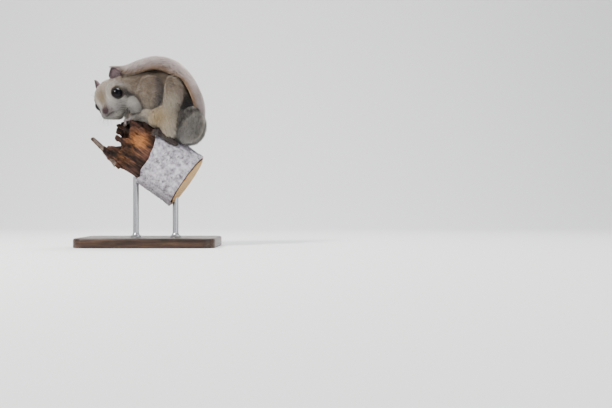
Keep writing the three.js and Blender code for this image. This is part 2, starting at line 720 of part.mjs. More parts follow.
const trunkCutters = [headGrown, neckGrown, ...perches];
for (const [side, name] of sides) {
  const thighGrown = makeThigh(side, GAP);
  const frontGrown = makeFrontFold(side, GAP);
  const rearGrown = makeRearFold(side, GAP);
  const legGrown = makeForeleg(side, GAP);
  add(animal, "thigh_" + name, without(makeThigh(side, 0), ...perches), colours.coat);
  add(animal, "membrane_front_" + name, without(makeFrontFold(side, 0), headGrown, neckGrown), colours.coat);
  const rear = without(makeRearFold(side, 0), frontGrown, thighGrown, ...perches);
  add(animal, "membrane_rear_" + name, rear, colours.pale);
  const leg = without(makeForeleg(side, 0), frontGrown, rearGrown, headGrown, neckGrown, ...perches);
  add(animal, "foreleg_" + name, leg, colours.coat);

  const grip = atSide(side, V(-13.4, -12.6, 21.5));
  const handAxes = pawAxes(grip, V(-0.86, 0, -0.5), V(-0.5, 0, 0.86));
  const grown = [legGrown, trunkGrown, headGrown, neckGrown];
  const hand = without(makePaw(forepaw, handAxes, 55), ...grown, ...perches);
  add(animal, "forepaw_" + name, hand, colours.skin);

  const sole = V(18, side * -17, 3).addScaledVector(limbUp, 0.6);
  const outward = V(limbUp.x * 0.8, side * -0.6, limbUp.z * 0.8).normalize();
  const footAxes = pawAxes(sole, V(-0.8, side * -0.12, 0.56).normalize(), outward);
  const foot = without(makePaw(hindpaw, footAxes, 35), thighGrown, rearGrown, trunkGrown, ...perches);
  add(animal, "hindfoot_" + name, foot, colours.skin);

  trunkCutters.push(thighGrown, frontGrown, rearGrown, legGrown);
  tailCutters.push(thighGrown);
}
add(animal, "torso", without(makeTrunk(...trunkMesh, 0), ...trunkCutters), colours.coat);

const wholeTail = without(joined([tailCore(), ...tailLocks()]), ...tailCutters);
const lengths = tail.cuts
  .reduce((body, t) => body.subtract(chevron(t)), wholeTail)
  .decompose()
  .filter((b) => b.volume() > 50);
const middles = [0.13, 0.4, 0.64, 0.88].map((t) => tailLine.getPointAt(t));
["tail_root", "tail_rise", "tail_arch", "tail_tip"].forEach((name, i) => {
  const centre = (b) => {
    const { min, max } = b.boundingBox();
    return V((min[0] + max[0]) / 2, (min[1] + max[1]) / 2, (min[2] + max[2]) / 2);
  };
  const piece = lengths.reduce((a, b) =>
    centre(b).distanceTo(middles[i]) < centre(a).distanceTo(middles[i]) ? b : a,
  );
  add(animal, name, piece, colours.tailCoat);
});

// Stand
function makeBase() {
  const { length, width, thick, corner, bevel, baseX } = stand;
  const [x, y] = [length / 2 - bevel, width / 2 - bevel];
  const s = new THREE.Shape();
  s.absarc(x - corner, y - corner, corner, 0, Math.PI / 2);
  s.absarc(-x + corner, y - corner, corner, Math.PI / 2, Math.PI);
  s.absarc(-x + corner, -y + corner, corner, Math.PI, Math.PI * 1.5);
  s.absarc(x - corner, -y + corner, corner, Math.PI * 1.5, Math.PI * 2);
  const g = new THREE.ExtrudeGeometry(s, {
    depth: thick - 2 * bevel, bevelThickness: bevel, bevelSize: bevel, bevelSegments: 1, curveSegments: 4,
  });
  return solid(g.translate(baseX, 0, bevel));
}
add(part, "stand_base", makeBase(), colours.base);
stand.rodX.forEach((x, i) => {
  const g = new THREE.CylinderGeometry(stand.rodRadius, stand.rodRadius, LIFT, 12);
  const rod = solid(g.rotateX(Math.PI / 2).translate(x, 0, LIFT / 2 + stand.thick + GAP));
  const up = [barkGrown, woodGrown].map((b) => b.translate([0, 0, LIFT]));
  const pieces = up.reduce((a, b) => a.subtract(b), rod).decompose();
  const lowest = pieces.reduce((a, b) => (b.boundingBox().min[2] < a.boundingBox().min[2] ? b : a));
  add(part, "stand_rod_" + (i + 1), lowest, colours.rod);
});

export default part;
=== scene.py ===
"""A flying squirrel at life size.

It is hunched on the broken end of a birch limb, with its tail laid over its back.
"""

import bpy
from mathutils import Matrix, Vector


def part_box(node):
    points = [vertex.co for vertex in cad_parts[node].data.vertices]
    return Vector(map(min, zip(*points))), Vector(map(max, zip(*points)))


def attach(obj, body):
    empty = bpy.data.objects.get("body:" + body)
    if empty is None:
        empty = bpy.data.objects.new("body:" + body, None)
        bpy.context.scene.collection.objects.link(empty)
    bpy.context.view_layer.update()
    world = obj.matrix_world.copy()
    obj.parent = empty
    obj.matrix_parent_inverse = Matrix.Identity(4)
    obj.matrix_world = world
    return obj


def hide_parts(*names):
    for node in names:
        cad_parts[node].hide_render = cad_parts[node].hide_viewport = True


bl_info = {
    "name": "Flying squirrel on a birch limb",
    "version": (1, 0, 0),
    "blender": (4, 5, 0),
    "location": "View3D > Sidebar > Squirrel",
    "description": "Makes the skin, coat, tail, eyes, perch and stand of a small flying squirrel",
    "category": "Add Mesh",
}

import math

import bmesh
import bpy
import numpy as np
from bpy.props import FloatProperty, FloatVectorProperty, IntProperty, PointerProperty
from mathutils import Euler, Vector

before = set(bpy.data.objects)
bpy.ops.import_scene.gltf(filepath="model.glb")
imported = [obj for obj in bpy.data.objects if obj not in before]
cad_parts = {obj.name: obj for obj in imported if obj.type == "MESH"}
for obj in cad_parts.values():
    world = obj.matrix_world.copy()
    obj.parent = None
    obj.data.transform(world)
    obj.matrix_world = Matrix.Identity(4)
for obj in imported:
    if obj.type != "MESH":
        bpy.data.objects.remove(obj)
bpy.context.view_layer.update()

# Lengths are in millimetres unless they say otherwise
MM = 0.001
# Height of the perch's own zero over the floor
LIFT = 88.0
# The photo's frame, its millimetres a pixel at the animal, and the pixel of the perch's zero
PHOTO_WIDTH = 612
PHOTO_HEIGHT = 408
PHOTO_SCALE = 0.86
PHOTO_ZERO = (150, 144)
SENSOR = 36

FLESH = (
    "head", "neck", "torso", "ear_left", "ear_right",
    "membrane_front_left", "membrane_front_right", "membrane_rear_left", "membrane_rear_right",
    "foreleg_left", "foreleg_right", "thigh_left", "thigh_right",
    "forepaw_left", "forepaw_right", "hindfoot_left", "hindfoot_right",
)
# The limb: its slope, its axes, its middle line and where its bark begins
LIMB_SLOPE = math.radians(35)
LIMB_ALONG = np.array([math.cos(LIMB_SLOPE), 0, -math.sin(LIMB_SLOPE)])
LIMB_UP = np.array([math.sin(LIMB_SLOPE), 0, math.cos(LIMB_SLOPE)])
BARK_RADIUS = 26.0
LIMB_AT = np.array([1.7, 0, 20.6]) - LIMB_UP * BARK_RADIUS
EDGE_FROM = 4.0
# Each tuft's patch on the baking map
PATCH = 0.003
# Grain of the remeshed forms
BODY_VOXEL = 0.85
PAW_VOXEL = 0.34
PERCH_VOXEL = 0.7
# How many tufts and locks, and how many of them one piece holds
FOOT_TUFTS = 6000
TUFTS_A_PIECE = 19500
LOCKS_A_PIECE = 12000
# Which part of the skin a point belongs to
BODY_KIND = 0
EAR_KINDS = (1, 2)
PAW_KINDS = (3, 4, 5, 6)
TAIL_KIND = 7
# The thigh's upper edge seen from its side: a place on it, its slope and its scale
THIGH_EDGE = (25.7, 13.2)
THIGH_SLOPE = 0.95
THIGH_RUN = 1.38
# How far out the tail's hair may lie behind the near ear
EAR_BACK = -4.4
TAIL_NODES = ("tail_root", "tail_rise", "tail_arch", "tail_tip")


# sizes and colours a user may change


class CoatSizes(bpy.types.PropertyGroup):
    """Lengths of the fur"""

    body_length: FloatProperty(name="Body fur", description="Length of a body tuft", default=0.0058,
                               unit="LENGTH")
    face_length: FloatProperty(name="Face fur", description="Length of a face tuft", default=0.0022,
                               unit="LENGTH")
    foot_length: FloatProperty(name="Foot fur", description="Length of a foot tuft", default=0.0016,
                               unit="LENGTH")
    tail_length: FloatProperty(name="Tail hair", description="Length of a tail lock", default=0.017,
                               unit="LENGTH")
    tuft_width: FloatProperty(name="Tuft width", description="Width of a body tuft", default=0.00048,
                              unit="LENGTH")
    depth: FloatProperty(name="Coat depth", description="How far the skin lies in the coat", default=0.0026,
                         unit="LENGTH")
    body_tufts: IntProperty(name="Body tufts", description="Number of tufts on the body", default=58000)
    head_tufts: IntProperty(name="Head tufts", description="Number of tufts on the head", default=32000)
    tail_tufts: IntProperty(name="Tail tufts", description="Number of fine locks on the tail",
                            default=28000)
    seed: IntProperty(name="Seed", description="Seed of the coat's random draws", default=11)


class CoatColours(bpy.types.PropertyGroup):
    """Colours of the fur and the bare skin"""

    back: FloatVectorProperty(name="Back", description="Back and shoulder", subtype="COLOR",
                              default=(0.27, 0.212, 0.162))
    # painted shade for the shoulder fold's dark rear edge, its fringe and the hind feet; also the dots
    # where the whiskers grow
    shade: FloatVectorProperty(name="Shade", description="Dark edge of the fold", subtype="COLOR",
                               default=(0.135, 0.108, 0.098))
    crown: FloatVectorProperty(name="Crown", description="Top of the head", subtype="COLOR",
                               default=(0.33, 0.268, 0.21))
    cheek: FloatVectorProperty(name="Cheek", description="Cheek and round the eye", subtype="COLOR",
                               default=(0.45, 0.425, 0.395))
    cream: FloatVectorProperty(name="Cream", description="Underside of the fold", subtype="COLOR",
                               default=(0.53, 0.465, 0.375))
    yellow: FloatVectorProperty(name="Yellow", description="Flank by the belly", subtype="COLOR",
                                default=(0.46, 0.335, 0.185))
    belly: FloatVectorProperty(name="Belly", description="Belly and throat", subtype="COLOR",
                               default=(0.60, 0.565, 0.51))
    thigh: FloatVectorProperty(name="Thigh", description="Thigh", subtype="COLOR",
                               default=(0.27, 0.255, 0.235))
    tail_top: FloatVectorProperty(name="Tail top", description="Upper side of the tail", subtype="COLOR",
                                  default=(0.48, 0.41, 0.39))
    # darker lower side of the tail: partly the hair's tan brown, partly painted shade
    tail_under: FloatVectorProperty(name="Tail under", description="Lower side of the tail",
                                    subtype="COLOR", default=(0.27, 0.18, 0.12))
    # painted shadow for hollows, creases, seams and the hind feet; also the dark rim round each eye and the
    # line of the mouth
    gap: FloatVectorProperty(name="Gap", description="Dark hair in the folds", subtype="COLOR",
                             default=(0.028, 0.022, 0.020))
    nose: FloatVectorProperty(name="Nose", description="Bare nose", subtype="COLOR",
                              default=(0.048, 0.027, 0.029))
    pink: FloatVectorProperty(name="Bare skin", description="Nose, ears and toes", subtype="COLOR",
                              default=(0.235, 0.165, 0.175))


# forms of the body, in millimetres above the perch's own zero


def axes_of_head():
    """Head axes: columns are its left, ahead and up."""
    turn, nod, tilt = (math.radians(a) for a in (69, 21, 28))
    ahead = np.array([-math.cos(turn) * math.cos(nod), -math.sin(turn) * math.cos(nod), -math.sin(nod)])
    level = np.array([math.sin(turn), -math.cos(turn), 0.0])
    upright = np.cross(ahead, level)
    if upright[2] < 0:
        upright = -upright
    left = level * math.cos(tilt) + upright * math.sin(tilt)
    up = -level * math.sin(tilt) + upright * math.cos(tilt)
    return np.stack([left, ahead, up], axis=1)


HEAD = axes_of_head()
HEAD_AT = np.array([-28.6, -7.0, 36.3])
EYE_AT = np.array([9.9, 6.8, 3.6])
EYE_RADIUS = 5.5
EYE_LOOK = np.array([0.85, 0.5, 0.16]) / np.linalg.norm([0.85, 0.5, 0.16])
NOSE_AT = np.array([0.0, 19.9, -3.2])
MOUTH_UP = -6.5
EAR = {"root": (9.8, -5.0, 12.6), "high": 12.6, "wide": 10.6, "thick": 4.6, "splay": 10, "back": 10,
       "turn": 34}


def turned_about_y(degrees):
    c, s = math.cos(math.radians(degrees)), math.sin(math.radians(degrees))
    return np.array([[c, 0, s], [0, 1, 0], [-s, 0, c]])


def egg(at, half, turn=None):
    return ("egg", np.array(at, float), np.array(half, float), turn)


def bone(a, b, ra, rb):
    return ("bone", np.array(a, float), np.array(b, float), (ra, rb))


def both(make):
    """The form on the left side and its mirror on the right."""
    return [make(-1.0), make(1.0)]


def head_egg(at, half):
    return ("egg", HEAD_AT + HEAD @ np.array(at, float), np.array(half, float), HEAD)


def head_forms():
    forms = [
        head_egg((0, -2.5, 3.5), (17.6, 18.5, 15.8)),
        head_egg((0, 10.4, -3.2), (7.8, 10.4, 6.3)),
        head_egg((0, 6.2, -7.2), (5.9, 7.6, 4)),
    ]
    for side in (1, -1):
        forms.append(head_egg((side * 10.4, -4, -5.5), (10, 12, 10.5)))
        forms.append(head_egg((side * 4, 13.2, -4.6), (4.2, 5.2, 3.7)))
    return forms


GROUPS = {
    "head": (4.5, head_forms()),
    "neck": (1.0, [bone((-4, -1, 45), (-23, -4, 43), 17, 15.5)]),
    "trunk": (7.0, [egg((-8, 0, 36), (18, 17.5, 22)), egg((11, 0, 37.5), (24, 20, 27)),
                    egg((25, 0, 23), (18.5, 19.5, 22))]),
    "shoulder": (1.0, both(lambda s: egg((1.2, s * 15.5, 42.2), (13, 7.5, 15.2), turned_about_y(14)))),
    "curtain": (8.0, both(lambda s: egg((20, s * 15, 40), (9.5, 6.5, 16)))
                + both(lambda s: egg((18.5, s * 15.5, 18.5), (8.5, 7, 13.5)))
                + both(lambda s: egg((8, s * 15.5, 24), (9.5, 6, 8.5)))),
    "thigh": (1.0, both(lambda s: egg((33.5, s * 11.5, 16.5), (14, 10.5, 16.5)))),
    "foreleg": (4.0, both(lambda s: bone((-3.2, s * 11.7, 38.2), (1.5, s * 14.5, 26.8), 8, 5.2))
                + both(lambda s: bone((1.5, s * 14.5, 26.8), (-10.4, s * 13.5, 23), 5.2, 3))),
}


def distance(form, p):
    """Distance to one form, negative inside it."""
    kind, a, b, c = form
    if kind == "egg":
        q = p - a
        if c is not None:
            q = q @ c
        near = np.linalg.norm(q / b, axis=1)
        slope = np.linalg.norm(q / b**2, axis=1)
        return near * (near - 1) / np.maximum(slope, 1e-9)
    along = b - a
    q = p - a
    t = np.clip(q @ along / (along @ along), 0, 1)
    return np.linalg.norm(q - t[:, None] * along, axis=1) - (c[0] + (c[1] - c[0]) * t)


def melt(d, e, soft):
    """The nearer of two distances, rounded where they meet."""
    h = np.maximum(soft - np.abs(d - e), 0) / soft
    return np.minimum(d, e) - h * h * soft / 4


def group_distance(name, p):
    soft, forms = GROUPS[name]
    d = np.full(len(p), 1e3)
    for form in forms:
        d = melt(d, distance(form, p), soft)
    return d


def body_distance(p):
    """Distance to the whole body, with a crease or a soft turn between its parts."""
    d = np.full(len(p), 1e3)
    for name, soft in (("trunk", 1), ("neck", 6), ("thigh", 1.6), ("curtain", 1.8), ("foreleg", 2.0),
                       ("shoulder", 2.0), ("head", 2.2)):
        d = melt(d, group_distance(name, p), soft)
    return d


def smoothstep(x, low, high):
    t = np.clip((x - low) / (high - low), 0, 1)
    return t * t * (3 - 2 * t)


def in_head(p):
    return (p - HEAD_AT) @ HEAD


def pouch_of(q):
    """Distance from the middle of the near cheek's pouch, as a share of its size."""
    return np.sqrt(((q[:, 0] - 15.5) / 5.5) ** 2 + ((q[:, 1] - 2.3) / 6.0) ** 2
                   + ((q[:, 2] + 10.7) / 6.5) ** 2)


def sculpt_face(q):
    """What the face adds to the head's form, in head axes: positive digs in, negative swells."""
    x, y, z = np.abs(q[:, 0]), q[:, 1], q[:, 2]
    d = np.zeros(len(q))
    ring, ahead = eye_ring(q)
    socket = smoothstep(ahead, -1, 2) * np.where(q[:, 0] > 0, 1, 0.6)
    d -= 0.5 * np.exp(-(((ring - 5.9) / 0.9) ** 2)) * socket
    d += 0.8 * np.exp(-(((ring - 8.8) / 2.0) ** 2)) * smoothstep(ahead, -2, 3) * smoothstep(13 - x, 0, 4)
    lip = MOUTH_UP - 0.1 * x - 0.3 * np.sin(x * 1.1) ** 2
    near = smoothstep(y, NOSE_AT[1] - 9, NOSE_AT[1] - 5) * smoothstep(5.6 - x, 0, 2.5)
    d += 0.55 * np.exp(-(((z - lip) / 0.4) ** 2)) * near
    d -= 0.3 * np.exp(-(((z - lip - 1.2) / 0.8) ** 2)) * near
    parting = smoothstep(y, NOSE_AT[1] - 3.3, NOSE_AT[1] - 1.8)
    parting = parting * smoothstep(z, MOUTH_UP - 0.4, MOUTH_UP + 0.3)
    d += 0.5 * np.exp(-((x / 0.36) ** 2)) * parting * smoothstep(-z, 4.3, 5.0)
    pad = q - NOSE_AT
    oval = np.sqrt((pad[:, 0] / 2.3) ** 2 + (pad[:, 1] / 3.0) ** 2 + (pad[:, 2] / 1.8) ** 2)
    d -= 0.6 * smoothstep(1.25 - oval, 0, 0.7)
    groove = 0.45 * np.exp(-((x / 0.3) ** 2)) * smoothstep(1.3 - oval, 0, 0.4)
    d += groove * smoothstep(-pad[:, 2], -0.6, 0.6)
    hole = np.sqrt(((x - 1.25) / 0.6) ** 2 + ((pad[:, 2] + 0.2) / 0.48) ** 2)
    d += 0.9 * smoothstep(1.3 - hole, 0, 0.6) * smoothstep(y, NOSE_AT[1] - 1.3, NOSE_AT[1] + 0.2)
    jaw = np.sqrt(((x - 7.5) / 5.0) ** 2 + ((y - 8) / 7.0) ** 2 + ((z + 11.5) / 5.0) ** 2)
    d += 1.6 * smoothstep(1.3 - jaw, 0, 0.9)
    tucked = np.sqrt(((q[:, 0] + 14.5) / 8.0) ** 2 + ((y - 1.5) / 9.0) ** 2 + ((z + 13) / 6.0) ** 2)
    d += 3.0 * smoothstep(1.3 - tucked, 0, 0.9)
    d -= 1.7 * smoothstep(1.3 - pouch_of(q), 0, 0.8)
    return d


def skin_depth(p, coat_depth):
    """How far the skin lies below the coat's outline: deep on the body, least at the nose."""
    q = in_head(p)
    face = smoothstep(q[:, 1], -6, 10) * smoothstep(24 - np.linalg.norm(q, axis=1), -4, 2)
    head = smoothstep(group_distance("neck", p) - group_distance("head", p), -1, 4)
    depth = coat_depth * (1 - 0.45 * head)
    depth = depth * (1 - face) + 0.75 * face
    muzzle = smoothstep(q[:, 1], 14, 20)
    return depth * (1 - 0.8 * muzzle)


def field(p, coat_depth):
    """Nought on the skin, negative inside it."""
    q = in_head(p)
    mask = smoothstep(30 - np.linalg.norm(q - [0, 8, -2], axis=1), 0, 8)
    return body_distance(p) + skin_depth(p, coat_depth) + sculpt_face(q) * mask


def slope_of(p, values, f, step=0.05):
    grad = np.empty_like(p)
    for k in range(3):
        shifted = p.copy()
        shifted[:, k] += step
        grad[:, k] = (f(shifted) - values) / step
    return grad


def settle(p, f, rounds=6, most=1.2):
    """Moves points onto the surface where f is nought."""
    for _ in range(rounds):
        v = f(p)
        g = slope_of(p, v, f)
        move = -(v / np.maximum((g * g).sum(1), 0.05))[:, None] * g
        size = np.linalg.norm(move, axis=1)
        p = p + move * np.minimum(1, most / np.maximum(size, 1e-9))[:, None]
    return p


# the tail's line


TAIL_LINE = np.array([
    (32, 0.5, 5), (39.2, 0.8, 11), (42.2, 1, 22), (42, 1, 33), (38.6, 1, 44), (30.6, 0.6, 57.6),
    (20, 0.2, 67), (6, -0.5, 70.6), (-8, -1.5, 67.6), (-20, -2.5, 64), (-32.5, -3.5, 63.4),
])
TAIL_WIDE = 15.0
TAIL_THICK = 6.6


def through(points, steps):
    """A centripetal Catmull-Rom curve through the points."""
    ends = np.vstack([2 * points[0] - points[1], points, 2 * points[-1] - points[-2]])
    out = []
    for i in range(len(points) - 1):
        p0, p1, p2, p3 = ends[i:i + 4]
        d0, d1, d2 = (np.linalg.norm(b - a) ** 0.5 for a, b in ((p0, p1), (p1, p2), (p2, p3)))
        t1 = ((p1 - p0) / d0 - (p2 - p0) / (d0 + d1) + (p2 - p1) / d1) * d1
        t2 = ((p2 - p1) / d1 - (p3 - p1) / (d1 + d2) + (p3 - p2) / d2) * d1
        for u in np.linspace(0, 1, steps, endpoint=False):
            out.append(p1 + t1 * u + (-3 * p1 + 3 * p2 - 2 * t1 - t2) * u**2
                       + (2 * p1 - 2 * p2 + t1 + t2) * u**3)
    out.append(points[-1])
    return np.array(out)


class TailLine:
    """The tail's line by its length, with the frame at each place."""

    def __init__(self):
        fine = through(TAIL_LINE, 60)
        runs = np.concatenate([[0], np.cumsum(np.linalg.norm(np.diff(fine, axis=0), axis=1))])
        self.length = runs[-1]
        self.at_mm = np.linspace(0, self.length, 400)
        self.points = np.stack([np.interp(self.at_mm, runs, fine[:, k]) for k in range(3)], axis=1)
        ahead = np.gradient(self.points, axis=0)
        self.ahead = ahead / np.linalg.norm(ahead, axis=1)[:, None]
        out = np.cross([0.0, 1.0, 0.0], self.ahead)
        self.out = out / np.linalg.norm(out, axis=1)[:, None]
        self.across = np.cross(self.ahead, self.out)

    def frame_at(self, along):
        pick = np.clip(along, 0, self.length)
        rows = [np.stack([np.interp(pick, self.at_mm, a[:, k]) for k in range(3)], axis=1)
                for a in (self.points, self.ahead, self.across, self.out)]
        return rows

    def place(self, along, side, out):
        at, ahead, across, up = self.frame_at(along)
        past = along - np.clip(along, 0, self.length)
        return at + ahead * past[:, None] + across * side[:, None] + up * out[:, None]


TAIL = TailLine()


def tail_spread(t):
    return np.minimum(1, 0.35 + 2.6 * t) * (1 - 0.42 * smoothstep(t, 0.72, 1))


# mesh helpers


def place_mesh(name, verts, faces, material, smooth=True):
    """A mesh object from millimetres above the perch's zero."""
    mesh = bpy.data.meshes.new(name)
    mesh.from_pydata((np.asarray(verts) + [0, 0, LIFT]) * MM, [], faces)
    mesh.update()
    obj = bpy.data.objects.new(name, mesh)
    bpy.context.scene.collection.objects.link(obj)
    if material:
        mesh.materials.append(material)
    if smooth:
        mesh.shade_smooth()
    return obj


def read_verts(mesh):
    data = np.empty(len(mesh.vertices) * 3)
    mesh.vertices.foreach_get("co", data)
    return data.reshape(-1, 3) / MM - [0, 0, LIFT]


def write_verts(mesh, p):
    mesh.vertices.foreach_set("co", ((p + [0, 0, LIFT]) * MM).ravel())
    mesh.update()


def mesh_normals(mesh):
    normals = np.empty(len(mesh.vertices) * 3, dtype=np.float32)
    mesh.vertex_normals.foreach_get("vector", normals)
    return normals.reshape(-1, 3).astype(float)


def tube_faces(rows, around):
    """Quads between rows of points that run round, with a cap on each end."""
    faces = []
    for i in range(rows - 1):
        for k in range(around):
            a, b = i * around + k, i * around + (k + 1) % around
            faces.append((a, b, b + around, a + around))
    faces.append(tuple(range(around))[::-1])
    faces.append(tuple(range((rows - 1) * around, rows * around)))
    return faces


def blob_meshes(forms):
    """One mesh of overlapping balls that fills the forms, as a start for the skin."""
    bm = bmesh.new()
    bmesh.ops.create_icosphere(bm, subdivisions=3, radius=1)
    unit = np.array([v.co[:] for v in bm.verts])
    tris = np.array([[v.index for v in f.verts] for f in bm.faces])
    bm.free()
    verts, faces, base = [], [], 0
    for kind, a, b, c in forms:
        if kind == "egg":
            local = unit * b
            made = [(local @ c.T if c is not None else local) + a]
        else:
            made = [unit * (c[0] + (c[1] - c[0]) * t) + a + (b - a) * t for t in np.linspace(0, 1, 9)]
        for v in made:
            verts.append(v)
            faces.append(tris + base)
            base += len(v)
    return np.vstack(verts), np.vstack(faces)


def remeshed(name, verts, faces, voxel):
    """The closed outer surface of overlapping meshes, in quads of the voxel's size."""
    rough = place_mesh(name + "_rough", verts, [tuple(f) for f in faces.tolist()], None, smooth=False)
    mod = rough.modifiers.new("voxels", "REMESH")
    mod.mode = "VOXEL"
    mod.voxel_size = voxel * MM
    mod.adaptivity = 0
    mesh = bpy.data.meshes.new_from_object(rough.evaluated_get(bpy.context.evaluated_depsgraph_get()))
    old = rough.data
    bpy.data.objects.remove(rough)
    bpy.data.meshes.remove(old)
    return mesh


def edges_of(mesh):
    pairs = np.empty(len(mesh.edges) * 2, dtype=np.int64)
    mesh.edges.foreach_get("vertices", pairs)
    return pairs.reshape(-1, 2)


def relaxed(p, pairs, rounds, share=0.5):
    """Smooths points towards the mean of their neighbours."""
    count = np.bincount(pairs.ravel(), minlength=len(p)).astype(float)[:, None]
    for _ in range(rounds):
        total = np.zeros_like(p)
        for k in range(3):
            for a, b in ((0, 1), (1, 0)):
                total[:, k] += np.bincount(pairs[:, a], p[pairs[:, b], k], len(p))
        p = p + (total / np.maximum(count, 1) - p) * share
    return p


# skin


def body_mesh(coat_depth):
    """The body's skin: a voxel surface of the forms, settled onto the smooth field."""
    forms = [f for _, group in GROUPS.values() for f in group]
    mesh = remeshed("body", *blob_meshes(forms), BODY_VOXEL)
    refine_face(mesh)
    pairs = edges_of(mesh)
    p = read_verts(mesh)

    def f(q):
        return field(q, coat_depth)

    p = settle(p, f, 5)
    for _ in range(3):
        p = settle(relaxed(p, pairs, 2), f, 2)
    write_verts(mesh, settle(p, f, 3))
    return mesh


def refine_face(mesh):
    """Halves the faces about the muzzle and eyes."""
    bm = bmesh.new()
    bm.from_mesh(mesh)
    centre = HEAD_AT + HEAD @ np.array([0, 12, -2.0])
    centre = Vector(((centre + [0, 0, LIFT]) * MM).tolist())
    reach = 0.0165
    near = [e for e in bm.edges if all((v.co - centre).length < reach for v in e.verts)]
    bmesh.ops.subdivide_edges(bm, edges=near, cuts=1, use_grid_fill=True)
    bmesh.ops.triangulate(bm, faces=[f for f in bm.faces if len(f.verts) > 4])
    bm.to_mesh(mesh)
    bm.free()
    mesh.update()


def ear_mesh(side):
    """An ear: a thin leaf-shaped cup, open to the front, its foot sunk in the head."""
    around, rings = 44, 16
    sheets = []
    for inner in (0, 1):
        for i in range(rings + 1):
            r = math.sin(math.pi / 2 * i / rings) if i else 0.02
            angle = np.arange(around) * 2 * math.pi / around
            x, z = r * np.cos(angle), r * np.sin(angle)
            back = -np.sqrt(max(0, 1 - r * r)) * np.ones(around)
            wall = (0.75 * (1 - r) + 0.16) / (EAR["thick"] / 2)
            sheets.append(np.stack([x, back + inner * wall, z], axis=1))
    p = np.vstack(sheets)
    h = p[:, 2]
    taper = np.where(h > 0, 1 - 0.32 * h, 1 + 0.1 * h)
    curl = 0.36 * (h + 1) ** 2
    rim = 0.5 * np.abs(p[:, 0]) ** 3
    q = np.stack([p[:, 0] * EAR["wide"] / 2 * taper, p[:, 1] * EAR["thick"] / 2 - curl + rim,
                  h * EAR["high"] / 2 + EAR["high"] / 2], axis=1)
    turn = Euler((0, 0, math.radians(-side * EAR["turn"]))).to_matrix()
    back = Euler((math.radians(EAR["back"]), 0, 0)).to_matrix()
    splay = Euler((0, math.radians(side * EAR["splay"]), 0)).to_matrix()
    q = q @ np.array(splay @ back @ turn).T + np.array(EAR["root"]) * [side, 1, 1]
    faces = []
    sheet = (rings + 1) * around
    for i in range(rings):
        for k in range(around):
            a, b = i * around + k, i * around + (k + 1) % around
            faces.append((a, b, b + around, a + around))
            faces.append((sheet + a, sheet + a + around, sheet + b + around, sheet + b))
    for k in range(around):
        a, b = rings * around + k, rings * around + (k + 1) % around
        faces.append((a, b, sheet + b, sheet + a))
    faces.append(tuple(range(around))[::-1])
    faces.append(tuple(range(sheet, sheet + around)))
    return HEAD_AT + q @ HEAD.T, faces


def paw_axes(at, ahead, up):
    """Paw axes: columns are across, ahead and up."""
    ahead = np.array(ahead) / np.linalg.norm(ahead)
    across = np.cross(ahead, up)
    across /= np.linalg.norm(across)
    return np.array(at), np.stack([across, ahead, np.cross(across, ahead)], axis=1)


def paws():
    """The four paws: place, axes, sizes."""
    fore = {"palm": (3.3, 3.8, 2.2), "toes": 4, "long": 6.4, "radius": 1.05, "spread": 46, "claw": 2.2,
            "dip": 55}
    hind = {"palm": (3.6, 9.5, 2.6), "toes": 5, "long": 7.2, "radius": 1.15, "spread": 40, "claw": 2.5,
            "dip": 35}
    out = []
    for s in (-1, 1):
        out.append((*paw_axes((-13.4, s * 12.6, 21.5), (-0.86, 0, -0.5), (-0.5, 0, 0.86)), fore))
        sole = (18 + 0.6 * LIMB_UP[0], s * 17, 3 + 0.6 * LIMB_UP[2])
        out.append((*paw_axes(sole, (-0.8, s * 0.12, 0.56), (LIMB_UP[0] * 0.8, s * 0.6, LIMB_UP[2] * 0.8)),
                    hind))
    return out


def toe_bones(sizes):
    """Each toe's root, knuckle, tip and direction in the paw's own axes."""
    bones = []
    for i in range(sizes["toes"]):
        share = i / (sizes["toes"] - 1) - 0.5
        fan = math.radians(share * sizes["spread"])
        root = np.array([share * sizes["palm"][0] * 1.5, sizes["palm"][1] * 0.72, -0.2])
        half = sizes["long"] * (1 - 0.5 * share * share) / 2
        ahead = np.array([math.sin(fan), math.cos(fan), 0])
        knuckle = root + ahead * half + [0, 0, 0.7]
        dip = math.radians(sizes["dip"])
        tip = knuckle + ahead * half * math.cos(dip) - [0, 0, half * math.sin(dip)]
        bones.append((root, knuckle, tip, ahead))
    return bones


def paw_mesh(at, axes, sizes):
    r = sizes["radius"]
    forms = [egg((0, 0, 0), sizes["palm"])]
    for root, knuckle, tip, ahead in toe_bones(sizes):
        forms += [bone(root, knuckle, r * 1.05, r * 0.9), bone(knuckle, tip, r * 0.9, r * 0.78)]
        forms += [egg(tip - [0, 0, 0.35], (r * 0.95, r * 1.05, r * 0.8)),
                  egg(knuckle, (r * 1.12, r * 1.1, r))]
    mesh = remeshed("paw", *blob_meshes(forms), PAW_VOXEL)

    def shape(p):
        d = np.full(len(p), 1e3)
        for form in forms:
            d = melt(d, distance(form, p), 0.55)
        return d + 0.12

    p = read_verts(mesh)
    pairs = edges_of(mesh)
    p = settle(relaxed(settle(p, shape, 3), pairs, 2), shape, 2, 0.4)
    faces = [tuple(f.vertices) for f in mesh.polygons]
    bpy.data.meshes.remove(mesh)
    return at + p @ axes.T, faces


def tail_core():
    """The tail's thin body under its hair."""
    around, rings = 20, 90
    along = np.linspace(0, TAIL.length * 0.97, rings)
    verts, faces = [], []
    angle = np.arange(around) * 2 * math.pi / around
    for a in along:
        t = a / TAIL.length
        wide, thick = 0.3 * TAIL_WIDE * tail_spread(t), 0.36 * TAIL_THICK * (1 - 0.6 * t)
        verts.append(TAIL.place(np.full(around, a), np.cos(angle) * wide, np.sin(angle) * thick))
    for i in range(rings - 1):
        for k in range(around):
            a, b = i * around + k, i * around + (k + 1) % around
            faces.append((a, a + around, b + around, b))
    faces.append(tuple(range(around)))
    faces.append(tuple(range((rings - 1) * around, rings * around))[::-1])
    return np.vstack(verts), faces


